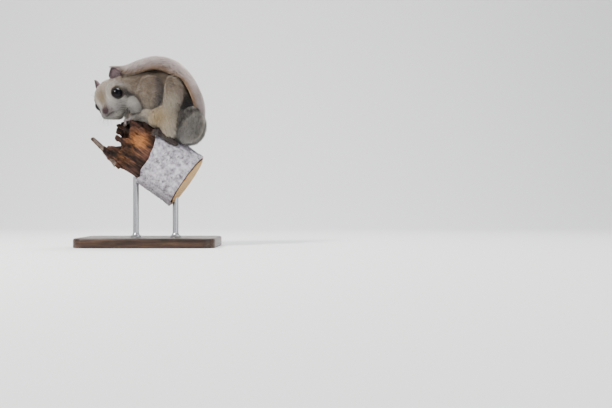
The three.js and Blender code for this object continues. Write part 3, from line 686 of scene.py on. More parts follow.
class Drift:
    """Smooth random values through space, from a seeded lattice."""

    def __init__(self, seed):
        self.grid = np.random.default_rng(seed).random((24, 24, 24))

    def at(self, p, size):
        q = np.asarray(p) / size + 960.0
        low = np.floor(q).astype(int)
        t = q - low
        t = t * t * (3 - 2 * t)
        total = np.zeros(len(q))
        for corner in range(8):
            step = np.array([corner & 1, corner >> 1 & 1, corner >> 2 & 1])
            share = np.prod(np.where(step, t, 1 - t), axis=1)
            total += share * self.grid[tuple(((low + step) % 24).T)]
        return total

    def layers(self, p, size, rounds=3):
        """Values from 0 to 1 with finer and finer parts."""
        parts = [self.at(p, size / 2**k) / 2**k for k in range(rounds)]
        return sum(parts) / sum(1 / 2**k for k in range(rounds))


DRIFT = Drift(5)


# markings, painted shade and lie of the coat


def shares_of_groups(p):
    """How much each part of the body owns each point."""
    names = list(GROUPS)
    d = np.stack([group_distance(name, p) for name in names], axis=1)
    w = np.exp(-(d - d.min(axis=1, keepdims=True)) / 1.1)
    w /= w.sum(axis=1, keepdims=True)
    return dict(zip(names, w.T))


def mixed(a, b, share):
    return a + (b - a) * np.asarray(share)[:, None]


def near_point(p, at, reach):
    return np.exp(-(np.linalg.norm(p - np.array(at), axis=1) / reach) ** 2)


def eye_ring(q):
    """Distance from the eye's axis, and how far the point lies out along it."""
    off = q.copy()
    off[:, 0] = np.abs(off[:, 0])
    off = off - EYE_AT
    ahead = off @ EYE_LOOK
    return np.linalg.norm(off - ahead[:, None] * EYE_LOOK, axis=1), ahead


def head_colour(q, tone):
    """The face's markings, in head axes."""
    x, y, z = np.abs(q[:, 0]), q[:, 1], q[:, 2]
    top = smoothstep(z - 0.25 * x + 0.1 * y, 2.5, 9.5)
    c = mixed(tone["cheek"], tone["crown"], top)
    c = mixed(c, tone["belly"], smoothstep(-z, 6.5, 11))
    bridge = smoothstep(y, 9, 13) * smoothstep(4.5 - x, 0, 3) * smoothstep(z, -3.2, -0.5)
    c = mixed(c, tone["crown"] * 0.7, 0.8 * bridge)
    streaks = DRIFT.layers(np.stack([q[:, 0] * 2.2, q[:, 1] * 0.35, q[:, 2] * 0.5], axis=1), 3.0)
    c = mixed(c, tone["back"] * 0.75, top * smoothstep(streaks, 0.46, 0.66) * 0.8)
    brow = near_point(q, (0, 13, 8), 7.5) * smoothstep(streaks, 0.35, 0.6)
    c = mixed(c, tone["yellow"] * 0.62, brow * 0.6)
    ring, ahead = eye_ring(q)
    outside = smoothstep(ahead, -6, 0) * np.where(q[:, 0] > 0, 1, 0.7)
    c = mixed(c, tone["cheek"] * 1.12, np.exp(-((ring - 8.2) / 1.9) ** 2) * outside * 0.55)
    c = mixed(c, tone["gap"] * 0.8, smoothstep(5.9 - ring, 0, 0.5) * outside)
    back = smoothstep(-y, 6, 14)
    c = mixed(c, tone["crown"] * 1.05, back * smoothstep(z, -6, 0) * 0.5)
    snout = smoothstep(7.5 - np.linalg.norm(q - NOSE_AT - [0, -1.5, -1.2], axis=1), 0, 4.5)
    c = mixed(c, tone["nose"] * 2.2, snout * 0.6)
    lip = MOUTH_UP - 0.1 * x
    line = np.exp(-((z - lip) / 0.55) ** 2) * smoothstep(y, NOSE_AT[1] - 9, NOSE_AT[1] - 5)
    c = mixed(c, tone["gap"] * 1.5, line * smoothstep(5.6 - x, 0, 2.5) * 0.8)
    whisker = smoothstep(y, 10, 14) * smoothstep(-z, 2.6, 4.6) * smoothstep(x, 1.2, 3)
    dots = smoothstep(DRIFT.at(q, 0.9), 0.62, 0.8)
    return mixed(c, tone["shade"], whisker * dots * 0.6)


def markings(p, normal, tone):
    """Colour at each place, with how bare the skin is there as the fourth value. Painted shade and shadow
    are laid into the folds, creases, hollows and seams.
    """
    share = shares_of_groups(p)
    q = in_head(p)
    flank = np.abs(p[:, 1])
    blotch = DRIFT.layers(p, 9.0)
    under = smoothstep(-normal[:, 2], 0.15, 0.7)
    back = mixed(tone["back"], tone["crown"], smoothstep(blotch, 0.45, 0.7) * 0.6)
    back = mixed(back, tone["back"] * 0.62,
                 smoothstep(DRIFT.layers(p * [0.5, 1, 1], 4.0), 0.52, 0.7) * 0.55)
    trunk = mixed(back, tone["belly"], np.maximum(under, smoothstep(20 - p[:, 2], 0, 12) * 0.9))
    fleck = DRIFT.layers(p * [1, 1, 0.55], 3.2)
    back = mixed(back, tone["crown"] * 1.15, smoothstep(fleck, 0.55, 0.75) * 0.45)
    # painted shade: the dark crescent along the shoulder's rear edge where the fold turns in
    rear = smoothstep(p[:, 0] + (p[:, 2] - 42) * 0.12, 3.0, 7.0) * smoothstep(p[:, 2], 28, 33)
    shoulder = mixed(back, tone["shade"], rear * 0.9)
    shoulder = mixed(shoulder, tone["cream"],
                     smoothstep(36 - p[:, 2], 0, 8) * smoothstep(12 - p[:, 0], 0, 8) * 0.6)
    curtain = mixed(tone["cream"], tone["cream"] * 0.72, smoothstep(blotch, 0.5, 0.75) * 0.6)
    curtain = mixed(curtain, tone["yellow"], near_point(p * [1, 0, 1], (8.5, 0, 24), 9.0) * 0.85)
    curtain = mixed(curtain, tone["back"], smoothstep(p[:, 2], 36, 52) * 0.95)
    curtain = mixed(curtain, tone["pink"] * 1.25,
                    smoothstep(p[:, 0], 22, 28) * smoothstep(p[:, 2], 26, 34) * 0.45)
    pale_rim = smoothstep(np.hypot((p[:, 0] - 34.5) / 14, (p[:, 2] - 15.5) / 16.5), 0.5, 0.85)
    thigh = mixed(tone["thigh"], tone["belly"] * 0.9, pale_rim * 0.7)
    thigh = mixed(thigh, tone["thigh"] * 0.6, smoothstep(blotch, 0.46, 0.66) * 0.55)
    thigh = mixed(thigh, tone["crown"], smoothstep(fleck, 0.5, 0.7) * 0.45)
    foreleg = mixed(tone["cream"], tone["cheek"] * 0.6, smoothstep(-p[:, 0], -2, 8) * 0.85)
    neck = mixed(back, tone["belly"], np.maximum(under, smoothstep(36 - p[:, 2], 0, 8)))
    head = head_colour(q, tone)
    parts = {"head": head, "neck": neck, "trunk": trunk, "shoulder": shoulder, "curtain": curtain,
             "thigh": thigh, "foreleg": foreleg}
    colour = sum(parts[name] * share[name][:, None] for name in parts)
    # painted shadow in the hollows between the fold, the flank and the thigh, with a few paler hairs
    hollow = near_point(p * [1, 0, 1], (28.5, 0, 33), 9.0) * (share["trunk"] + 0.25 * share["curtain"])
    hollow = np.maximum(hollow, near_point(p * [1, 0, 1], (23.5, 0, 15), 7.5)
                        * (share["trunk"] + 0.2 * share["thigh"]))
    hair = smoothstep(DRIFT.layers(p * [1.6, 1, 0.5], 2.4), 0.66, 0.78)
    colour = mixed(colour, mixed(tone["gap"], tone["cheek"], hair * 0.7), np.clip(hollow * 1.5, 0, 1))
    # painted shade in the creases between the head and the body and between the shoulder and the flank, low
    # on the sides
    low = smoothstep(50 - p[:, 2], 0, 8) * smoothstep(flank, 4, 9)
    others = share["neck"] + share["trunk"] + share["shoulder"] + share["foreleg"]
    crease = 16 * (share["head"] * others) ** 2
    crease = crease + 3 * share["shoulder"] * (share["trunk"] + share["curtain"])
    colour = mixed(colour, tone["gap"] * 1.2, np.clip(crease * 1.4, 0, 1) * low * 0.9)
    pouch = pouch_of(q)
    behind = np.maximum(smoothstep(p[:, 0], -15, -10), smoothstep(31 - p[:, 2], 0, 3))
    colour = mixed(colour, tone["cheek"], smoothstep(1.25 - pouch, 0, 0.3) * 0.9)
    # painted shadow round the back of the cheek's pouch
    colour = mixed(colour, tone["gap"] * 1.3, np.exp(-((pouch - 1.35) / 0.2) ** 2) * behind * 0.85)
    shaded = smoothstep(above_thigh(p), -0.3, 1.6) * share["thigh"] * smoothstep(48 - p[:, 0], 0, 8)
    colour = mixed(colour, mixed(tone["gap"], tone["cheek"], hair * 0.6), shaded * 0.9)
    # painted shadow along the seam between the thigh and the flank
    seam_shadow = 4 * share["thigh"] * (share["curtain"] + share["trunk"])
    colour = mixed(colour, tone["gap"], np.clip(seam_shadow, 0, 1) * 0.75)
    pad = q - NOSE_AT
    oval = np.sqrt((pad[:, 0] / 2.5) ** 2 + (pad[:, 1] / 3.2) ** 2 + (pad[:, 2] / 2.0) ** 2)
    bare = smoothstep(1.35 - oval, 0, 0.3)
    colour = mixed(colour, tone["nose"], bare)
    edge = smoothstep(flank, 16, 20) * share["shoulder"]
    colour = colour * (1 + 0.08 * edge[:, None])
    return np.column_stack([colour, bare])


def above_thigh(p):
    """How far each place lies above the thigh's upper edge, in mm."""
    return (p[:, 2] - THIGH_EDGE[1] - THIGH_SLOPE * (p[:, 0] - THIGH_EDGE[0])) / THIGH_RUN


def laid_flat(lie, normal):
    """The lie without what stands off the surface, at length 1."""
    lie = lie - normal * (lie * normal).sum(1)[:, None]
    return lie / np.maximum(np.linalg.norm(lie, axis=1), 1e-6)[:, None]


def lie_of(p, normal):
    """Which way the hair lies at each place."""
    share = shares_of_groups(p)
    q = in_head(p)
    side = np.sign(p[:, 1])
    flank = 1 - np.clip(normal[:, 2], 0, 1)
    ones = np.ones(len(p))
    away = (q - NOSE_AT) @ HEAD.T
    away /= np.linalg.norm(away, axis=1)[:, None]
    away[:, 2] -= 0.25 * flank
    off = q.copy()
    off[:, 0] = np.abs(off[:, 0])
    ring, ahead = eye_ring(q)
    from_eye = off - EYE_AT - ahead[:, None] * EYE_LOOK
    from_eye[:, 0] *= np.sign(q[:, 0])
    from_eye = (from_eye / np.maximum(ring, 1e-6)[:, None]) @ HEAD.T
    away += from_eye * (2.5 * smoothstep(9.5 - ring, 0, 3.5) * smoothstep(ahead, -4, 0))[:, None]
    high = smoothstep(p[:, 2], 42, 54)
    hung = mixed(np.stack([0.35 * ones, 0.1 * side, -0.95 * ones], axis=1), np.array([0.9, 0, -0.3]), high)
    lies = {
        "head": away,
        "neck": np.stack([0.85 * ones, 0.1 * side, -0.75 * flank], axis=1),
        "trunk": np.stack([0.9 * ones, 0 * ones, -0.55 * flank], axis=1),
        "shoulder": np.stack([0.75 * ones, 0.1 * side, -0.7 * flank], axis=1),
        "curtain": hung,
        "thigh": np.stack([-0.25 * ones, 0.1 * side, -0.95 * ones], axis=1),
        "foreleg": np.stack([-0.85 * ones, 0 * ones, -0.4 * ones], axis=1),
    }
    lie = sum(lies[name] * share[name][:, None] for name in lies)
    bend = DRIFT.layers(p, 5.0, 2) - 0.5
    lie = lie + np.cross(normal, lie) * bend[:, None] * 1.1
    return laid_flat(lie, normal)


# making many tufts at once


def raw_mesh(name, p, faces, material):
    """A mesh object straight from arrays of points and triangles."""
    mesh = bpy.data.meshes.new(name)
    mesh.vertices.add(len(p))
    mesh.loops.add(len(faces) * 3)
    mesh.polygons.add(len(faces))
    mesh.vertices.foreach_set("co", ((p + [0, 0, LIFT]) * MM).ravel())
    mesh.loops.foreach_set("vertex_index", faces.ravel())
    mesh.polygons.foreach_set("loop_start", np.arange(0, len(faces) * 3, 3))
    mesh.update(calc_edges=True)
    mesh.materials.append(material)
    mesh.shade_smooth()
    obj = bpy.data.objects.new(name, mesh)
    bpy.context.scene.collection.objects.link(obj)
    return obj


def colour_verts(mesh, rgba):
    layer = mesh.color_attributes.new("coat", "FLOAT_COLOR", "POINT")
    layer.data.foreach_set("color", rgba.astype(np.float32).ravel())


def lock_mesh(name, path, up, width, thick, rgba, uv, material):
    """Joined three-sided locks along (locks, places, 3) paths, each ending in a point."""
    count, places, _ = path.shape
    rings = places - 1
    points = []
    for k in range(rings):
        ahead = path[:, k + 1] - path[:, max(k - 1, 0)]
        ahead /= np.maximum(np.linalg.norm(ahead, axis=1), 1e-9)[:, None]
        across = np.cross(ahead, up)
        across /= np.maximum(np.linalg.norm(across, axis=1), 1e-9)[:, None]
        rise = np.cross(across, ahead)
        half = across * width[:, k:k + 1] / 2
        points += [path[:, k] + half, path[:, k] - half, path[:, k] + rise * thick[:, k:k + 1]]
    points.append(path[:, rings])
    verts = np.stack(points, axis=1)
    tri = [(0, 2, 1)]
    for k in range(rings - 1):
        a, b, c = 3 * k, 3 * k + 1, 3 * k + 2
        for m, n in ((a, c), (c, b), (b, a)):
            tri += [(m, m + 3, n + 3), (m, n + 3, n)]
    a, b, c = 3 * rings - 3, 3 * rings - 2, 3 * rings - 1
    tri += [(a, c + 1, c), (c, c + 1, b), (b, c + 1, a)]
    tri = np.array(tri)
    per = 3 * rings + 1
    faces = (tri[None] + (np.arange(count) * per)[:, None, None]).reshape(-1, 3)
    obj = raw_mesh(name, verts.reshape(-1, 3), faces, material)
    colours = np.repeat(rgba, 3, axis=1)[:, :per]
    colour_verts(obj.data, colours.reshape(-1, 4))
    patch = np.array([(x, k / rings) for k in range(rings) for x in (1, 0, 0.5)] + [(0.5, 1)])
    per_vert = uv[:, None] + (patch - 0.5) * PATCH
    layer = obj.data.uv_layers.new(name="OFBake")
    layer.uv.foreach_set("vector", per_vert.reshape(-1, 2)[faces.ravel()].astype(np.float32).ravel())
    return obj


class Ground:
    """The skin as a place to plant hair: seeded roots by area and weight."""

    def __init__(self, mesh):
        mesh.calc_loop_triangles()
        count = len(mesh.loop_triangles)
        tri = np.empty(count * 3, dtype=np.int32)
        mesh.loop_triangles.foreach_get("vertices", tri)
        loops = np.empty(count * 3, dtype=np.int32)
        mesh.loop_triangles.foreach_get("loops", loops)
        uv = np.empty(len(mesh.loops) * 2, dtype=np.float32)
        mesh.uv_layers["unwrap"].uv.foreach_get("vector", uv)
        self.p = read_verts(mesh)[tri.reshape(-1, 3)]
        self.n = mesh_normals(mesh)[tri.reshape(-1, 3)]
        self.uv = uv.reshape(-1, 2)[loops.reshape(-1, 3)].astype(float)
        edge = np.cross(self.p[:, 1] - self.p[:, 0], self.p[:, 2] - self.p[:, 0])
        self.area = np.linalg.norm(edge, axis=1) / 2
        self.middle = self.p.mean(axis=1)

    def roots(self, rng, count, weight):
        chance = self.area * weight
        pick = rng.choice(len(chance), count, p=chance / chance.sum())
        r = np.sqrt(rng.random(count))
        s = rng.random(count)
        bary = np.stack([1 - r, r * (1 - s), r * s], axis=1)[:, :, None]
        normal = (self.n[pick] * bary).sum(axis=1)
        normal /= np.linalg.norm(normal, axis=1)[:, None]
        return (self.p[pick] * bary).sum(axis=1), normal, (self.uv[pick] * bary).sum(axis=1)


def tuft_pieces(name, root, normal, uv, lie, length, width, rise, rgba, rng, material):
    """Short tufts that rise from their roots and bend over to the lie, split into pieces."""
    count = len(root)
    sway = np.radians(rng.normal(0, 13, count))[:, None]
    lie = lie * np.cos(sway) + np.cross(normal, lie) * np.sin(sway)
    steep = np.radians(rise + rng.normal(0, 5, count))[:, None]
    flat = steep * 0.32
    long = length[:, None] * rng.uniform(0.72, 1.2, count)[:, None]
    mid = root + (lie * np.cos(steep) + normal * np.sin(steep)) * long * 0.5
    tip = mid + (lie * np.cos(flat) + normal * np.sin(flat)) * long * 0.5
    path = np.stack([root - normal * 0.3, mid, tip], axis=1)
    wide = np.stack([width, width * 0.82], axis=1)
    bright = rng.normal(1, 0.11, count)[:, None, None]
    shade = np.array([0.5, 0.92, 1.14])[None, :, None]
    tint = np.ones((count, 3, 4))
    tint[:, :, :3] = rgba[:, None, :3] * bright * shade
    tint[:, :, 3] = 0
    made = []
    for k, start in enumerate(range(0, count, TUFTS_A_PIECE)):
        cut = slice(start, start + TUFTS_A_PIECE)
        piece = lock_mesh(f"{name}_{k + 1}", path[cut], normal[cut], wide[cut], wide[cut] * 0.4,
                          tint[cut], uv[cut], material)
        made.append(piece)
    return made


# materials


def node(tree, kind, props=None, **inputs):
    """A shader node with its settings; an input is a value or the socket that feeds it."""
    made = tree.nodes.new(kind)
    for key, value in (props or {}).items():
        setattr(made, key, value)
    for key, value in inputs.items():
        numbered = key[0] == "i" and key[1:].isdigit()
        socket = made.inputs[int(key[1:]) if numbered else key.replace("_", " ")]
        if isinstance(value, bpy.types.NodeSocket):
            tree.links.new(value, socket)
        else:
            socket.default_value = value
    return made


def ramp(tree, source, stops):
    """A colour ramp through (place, colour) stops."""
    made = tree.nodes.new("ShaderNodeValToRGB")
    tree.links.new(source, made.inputs[0])
    band = made.color_ramp.elements
    while len(band) < len(stops):
        band.new(0.5)
    for element, (place, colour) in zip(band, stops):
        element.position = place
        element.color = (*colour, 1)
    return made.outputs[0]


def mix(tree, blend_type, share, a, b):
    made = node(tree, "ShaderNodeMix", {"data_type": "RGBA", "blend_type": blend_type})
    for socket, value in ((made.inputs[0], share), (made.inputs[6], a), (made.inputs[7], b)):
        if isinstance(value, bpy.types.NodeSocket):
            tree.links.new(value, socket)
        else:
            socket.default_value = value
    return made.outputs[2]


def finish_of(name, roughness, specular=0.5):
    """A new material with its tree and shader."""
    mat = bpy.data.materials.new(name)
    mat.use_nodes = True
    tree = mat.node_tree
    shader = tree.nodes["Principled BSDF"]
    shader.inputs["Roughness"].default_value = roughness
    shader.inputs["Specular IOR Level"].default_value = specular
    return mat, tree, shader


def bumped(tree, shader, height, strength, distance):
    bump = node(tree, "ShaderNodeBump", Strength=strength, Distance=distance, Height=height)
    tree.links.new(bump.outputs[0], shader.inputs["Normal"])


def object_place(tree, scale=(1, 1, 1), turn=(0, 0, 0), shift=(0, 0, 0)):
    where = node(tree, "ShaderNodeTexCoord").outputs["Object"]
    return node(tree, "ShaderNodeMapping", {"vector_type": "TEXTURE"}, Vector=where, Scale=scale,
                Rotation=turn, Location=shift).outputs[0]


def coat_tone(tree, shader, noise, low, high):
    """Colours a shader by the coat attribute, broken up by a noise between low and high."""
    coat = node(tree, "ShaderNodeAttribute", {"attribute_name": "coat"})
    spread = node(tree, "ShaderNodeMapRange", i0=noise.outputs[0], i3=low, i4=high)
    scaled = {"operation": "SCALE"}
    tone = node(tree, "ShaderNodeVectorMath", scaled, i0=coat.outputs[0], Scale=spread.outputs[0])
    tree.links.new(tone.outputs[0], shader.inputs["Base Color"])
    return coat


def fur_finish(name, sheen=0.35):
    """Fur: the coat's own colours, broken up finely, with a soft sheen."""
    mat, tree, shader = finish_of(name, 0.74, 0.22)
    fine = node(tree, "ShaderNodeTexNoise", Vector=object_place(tree), Scale=1100.0, Detail=3.0)
    coat_tone(tree, shader, fine, 0.78, 1.2)
    shader.inputs["Sheen Weight"].default_value = sheen
    shader.inputs["Sheen Roughness"].default_value = 0.45
    return mat


def skin_finish():
    """Skin under the coat, bare and moist where the coat's fourth value says."""
    mat, tree, shader = finish_of("squirrel_skin", 0.8, 0.3)
    place = object_place(tree)
    fine = node(tree, "ShaderNodeTexNoise", Vector=place, Scale=900.0, Detail=4.0)
    pores = node(tree, "ShaderNodeTexVoronoi", Vector=place, Scale=2400.0)
    coat = coat_tone(tree, shader, fine, 0.72, 1.18)
    moist = node(tree, "ShaderNodeMapRange", i0=coat.outputs[3], i3=0.82, i4=0.4)
    tree.links.new(moist.outputs[0], shader.inputs["Roughness"])
    height = node(tree, "ShaderNodeMath", {"operation": "ADD"}, i0=fine.outputs[0], i1=pores.outputs[0])
    bumped(tree, shader, height.outputs[0], 0.5, 0.0003)
    return mat


# skin


def limb_place(p):
    """Along the limb, across it and out from its middle, in mm."""
    off = p - LIMB_AT
    return np.stack([off @ LIMB_ALONG, p[:, 1], off @ LIMB_UP], axis=1)


class MakeSkin(bpy.types.Operator):
    """One skin over head, body, ears, paws and tail core"""

    bl_idname = "squirrel.make_skin"
    bl_label = "Skin"

    def execute(self, context):
        sizes, tone = context.scene.coat_sizes, tones(context)
        material = skin_finish()
        body = body_mesh(sizes.depth / MM)
        parts = [(read_verts(body), [tuple(f.vertices) for f in body.polygons])]
        parts += [ear_mesh(side) for side in (1, -1)]
        parts += [paw_mesh(*paw) for paw in paws()]
        parts.append(tail_core())
        verts, faces, base, kinds = [], [], 0, []
        for kind, (p, f) in enumerate(parts):
            verts.append(p)
            faces += [tuple(i + base for i in face) for face in f]
            base += len(p)
            kinds.append(np.full(len(p), kind))
        skin = place_mesh("squirrel_skin", np.vstack(verts), faces, material)
        outward(skin.data)
        kinds = np.concatenate(kinds)
        p = read_verts(skin.data)
        normal = mesh_normals(skin.data)
        rgba = markings(p, normal, tone)
        ears = np.isin(kinds, EAR_KINDS)
        q = in_head(p)
        # the ear's open cup is darker towards its foot: painted shade inside the cup
        facing = smoothstep(normal @ HEAD[:, 1], 0.1, 0.6)
        inside = mixed(tone["pink"] * 0.6, tone["pink"] * 0.18, smoothstep(-(q[:, 2] - 21), 0, 6))
        rgba[ears, :3] = mixed(tone["pink"] * 1.1, inside, facing)[ears]
        feet = np.isin(kinds, PAW_KINDS)
        # the hind feet are painted dark: painted shade where they grip the bark
        hind = smoothstep(p[:, 0], 0, 6)
        foot = mixed(mixed(tone["pink"], tone["cheek"] * 0.85, DRIFT.layers(p, 2.0)), tone["gap"] * 2.0,
                     hind)
        rgba[feet, :3] = foot[feet]
        rgba[ears | feet, 3] = 0.35
        tail = kinds == TAIL_KIND
        rgba[tail, :3] = mixed(tone["tail_under"] * 0.6, tone["tail_top"] * 0.75,
                               smoothstep(-p[:, 0], 14, 22))[tail]
        rgba[tail, 3] = 0
        colour_verts(skin.data, rgba)
        layer = skin.data.attributes.new("kind", "INT", "POINT")
        layer.data.foreach_set("value", kinds.astype(np.int32))
        unwrap(skin)
        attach(skin, "root")
        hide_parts(*FLESH)
        return {"FINISHED"}


def tones(context):
    """The user's colours as arrays."""
    colours = context.scene.coat_colours
    names = [key for key in colours.bl_rna.properties.keys() if key not in ("rna_type", "name")]
    return {name: np.array(getattr(colours, name)[:]) for name in names}


def outward(mesh):
    bm = bmesh.new()
    bm.from_mesh(mesh)
    bmesh.ops.recalc_face_normals(bm, faces=bm.faces)
    bm.to_mesh(mesh)
    bm.free()
    mesh.update()


def unwrap(obj):
    """An unwrap of the skin's own shape, for planting the coat."""
    obj.data.uv_layers.new(name="unwrap")
    bpy.context.view_layer.objects.active = obj
    obj.select_set(True)
    bpy.ops.object.mode_set(mode="EDIT")
    bpy.ops.mesh.select_all(action="SELECT")
    bpy.ops.uv.smart_project(angle_limit=math.radians(70), island_margin=0.002)
    bpy.ops.object.mode_set(mode="OBJECT")
    obj.select_set(False)


class MakeCoat(bpy.types.Operator):
    """Tufts of fur on the body, the head and the feet"""

    bl_idname = "squirrel.make_coat"
    bl_label = "Coat"

    def execute(self, context):
        sizes, tone = context.scene.coat_sizes, tones(context)
        rng = np.random.default_rng(sizes.seed)
        skin = bpy.data.objects["squirrel_skin"].data
        ground = Ground(skin)
        kinds = np.empty(len(skin.vertices), dtype=np.int32)
        skin.attributes["kind"].data.foreach_get("value", kinds)
        tri = np.empty(len(skin.loop_triangles) * 3, dtype=np.int32)
        skin.loop_triangles.foreach_get("vertices", tri)
        kind = kinds[tri.reshape(-1, 3)[:, 0]]
        material = fur_finish("squirrel_fur")
        q = in_head(ground.middle)
        share = shares_of_groups(ground.middle)
        ring, ahead = eye_ring(q)
        clear = smoothstep(ring, 5.1, 5.7) + smoothstep(-ahead, 2, 5)
        pad = np.linalg.norm((q - NOSE_AT) / [2.5, 3.0, 2.0], axis=1)
        clear = np.minimum(clear, 1) * smoothstep(pad, 0.95, 1.15)
        muzzle = smoothstep(q[:, 1], 8, 17)
        on_head = (kind == BODY_KIND) * share["head"] * clear
        on_body = (kind == BODY_KIND) * (1 - share["head"])
        self.plant(ground, rng, sizes.head_tufts, on_head * (1 + 1.5 * muzzle), "head_fur", material, tone,
                   sizes)
        self.plant(ground, rng, sizes.body_tufts, on_body, "body_fur", material, tone, sizes)
        self.plant_feet(ground, rng, kind, material, tone, sizes)
        self.plant_fringes(ground, rng, kind, share, material, tone)
        return {"FINISHED"}

    def plant_fringes(self, ground, rng, kind, share, material, tone):
        """Longer hair that breaks the form: round the thigh, behind the folds and at the throat."""
        p = ground.middle
        flat = p * [1, 0, 1]
        flesh = kind == BODY_KIND
        rim = np.exp(-((above_thigh(p) + 1.2) / 1.6) ** 2) * smoothstep(46 - p[:, 0], 0, 8)
        fringes = {
            "thigh_fringe": (1500, flesh * share["thigh"] * rim, (-0.6, 0.2, 0.75), 5.2, tone["belly"]),
            "curtain_fringe": (1300, flesh * share["curtain"] * smoothstep(p[:, 0], 22, 26),
                               (0.75, 0.1, -0.6),
                               4.8, tone["cream"]),
            # dark hair behind the shoulder: painted shade of the fold
            "shoulder_fringe": (1300, flesh * share["shoulder"] * smoothstep(p[:, 0], 8, 12),
                                (0.7, 0.1, -0.65),
                                5.0, tone["shade"]),
            # a darker copy of the cheek colour: painted shade under the chin
            "throat_ruff": (1500,
                            flesh * (share["neck"] + share["trunk"]) * near_point(flat, (-19, 0, 25), 7.0),
                            (-0.3, 0.0, -0.9), 5.0, tone["cheek"] * 0.7),
        }
        for name, (count, weight, aim, long, colour) in fringes.items():
            root, normal, uv = ground.roots(rng, count, weight)
            lie = np.tile(np.array(aim), (count, 1)) * np.where(root[:, 1:2] < 0, [1, -1, 1], [1, 1, 1])
            lie = laid_flat(lie, normal)
            rgba = markings(root, normal, tone)
            rgba[:, :3] = mixed(rgba[:, :3], colour, rng.uniform(0.5, 1, count))
            length, width = np.full(count, long), np.full(count, 0.3)
            pieces = tuft_pieces(name, root, normal, uv, lie, length, width, np.full(count, 24.0), rgba,
                                 rng, material)
            for piece in pieces:
                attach(piece, "root")

    def plant(self, ground, rng, count, weight, name, material, tone, sizes):
        root, normal, uv = ground.roots(rng, count, weight)
        q = in_head(root)
        ring, _ = eye_ring(q)
        share = shares_of_groups(root)
        short = np.maximum(smoothstep(q[:, 1], -4, 14), smoothstep(10 - ring, 0, 3)) * share["head"]
        face, body = sizes.face_length / MM, sizes.body_length / MM
        length = body * (1 - 0.38 * share["head"]) * (1 - short) + face * short
        length = length * (1 - 0.5 * smoothstep(q[:, 1], 11, 18) * share["head"])
        length = length * (1 - 0.5 * smoothstep(7.0 - ring, 0, 1.2) * share["head"])
        crease = np.clip(4 * share["head"] * (share["neck"] + share["trunk"] + share["shoulder"]), 0, 1)
        length = length * (1 - 0.45 * crease * smoothstep(50 - root[:, 2], 0, 8))
        length = length * (1 - 0.4 * smoothstep(1.5 - pouch_of(q), 0, 0.3))
        length = length * (1 - 0.45 * share["foreleg"]) * (1 + 0.25 * share["curtain"])
        width = sizes.tuft_width / MM * np.clip(length / body, 0.45, 1.1)
        rise = 34 - 8 * share["head"] + 4 * share["curtain"]
        rgba = markings(root, normal, tone)
        pieces = tuft_pieces(name, root, normal, uv, lie_of(root, normal), length, width, rise, rgba, rng,
                             material)
        for piece in pieces:
            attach(piece, "root")

    def plant_feet(self, ground, rng, kind, material, tone, sizes):
        weight = np.isin(kind, PAW_KINDS) * 1.0 + np.isin(kind, EAR_KINDS) * 1.2
        root, normal, uv = ground.roots(rng, FOOT_TUFTS, weight)
        q = in_head(root)
        ear = q[:, 2] > 8
        lie = np.where(ear[:, None], HEAD[:, 2], np.array([-0.85, 0, -0.5]))
        lie = laid_flat(lie, normal)
        length = np.full(len(root), sizes.foot_length / MM) * np.where(ear, 0.8, 1)
        rgba = np.ones((len(root), 4))
        # hind-foot fur painted dark: painted shade
        foot = mixed(tone["cheek"] * 0.5, tone["shade"] * 0.55, smoothstep(root[:, 0], 0, 6))
        rgba[:, :3] = np.where(ear[:, None], tone["pink"] * 0.95, foot)
        pieces = tuft_pieces("foot_fur", root, normal, uv, lie, length, length * 0.11,
                             14.0 * np.ones(len(root)), rgba, rng, material)
        for piece in pieces:
            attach(piece, "root")


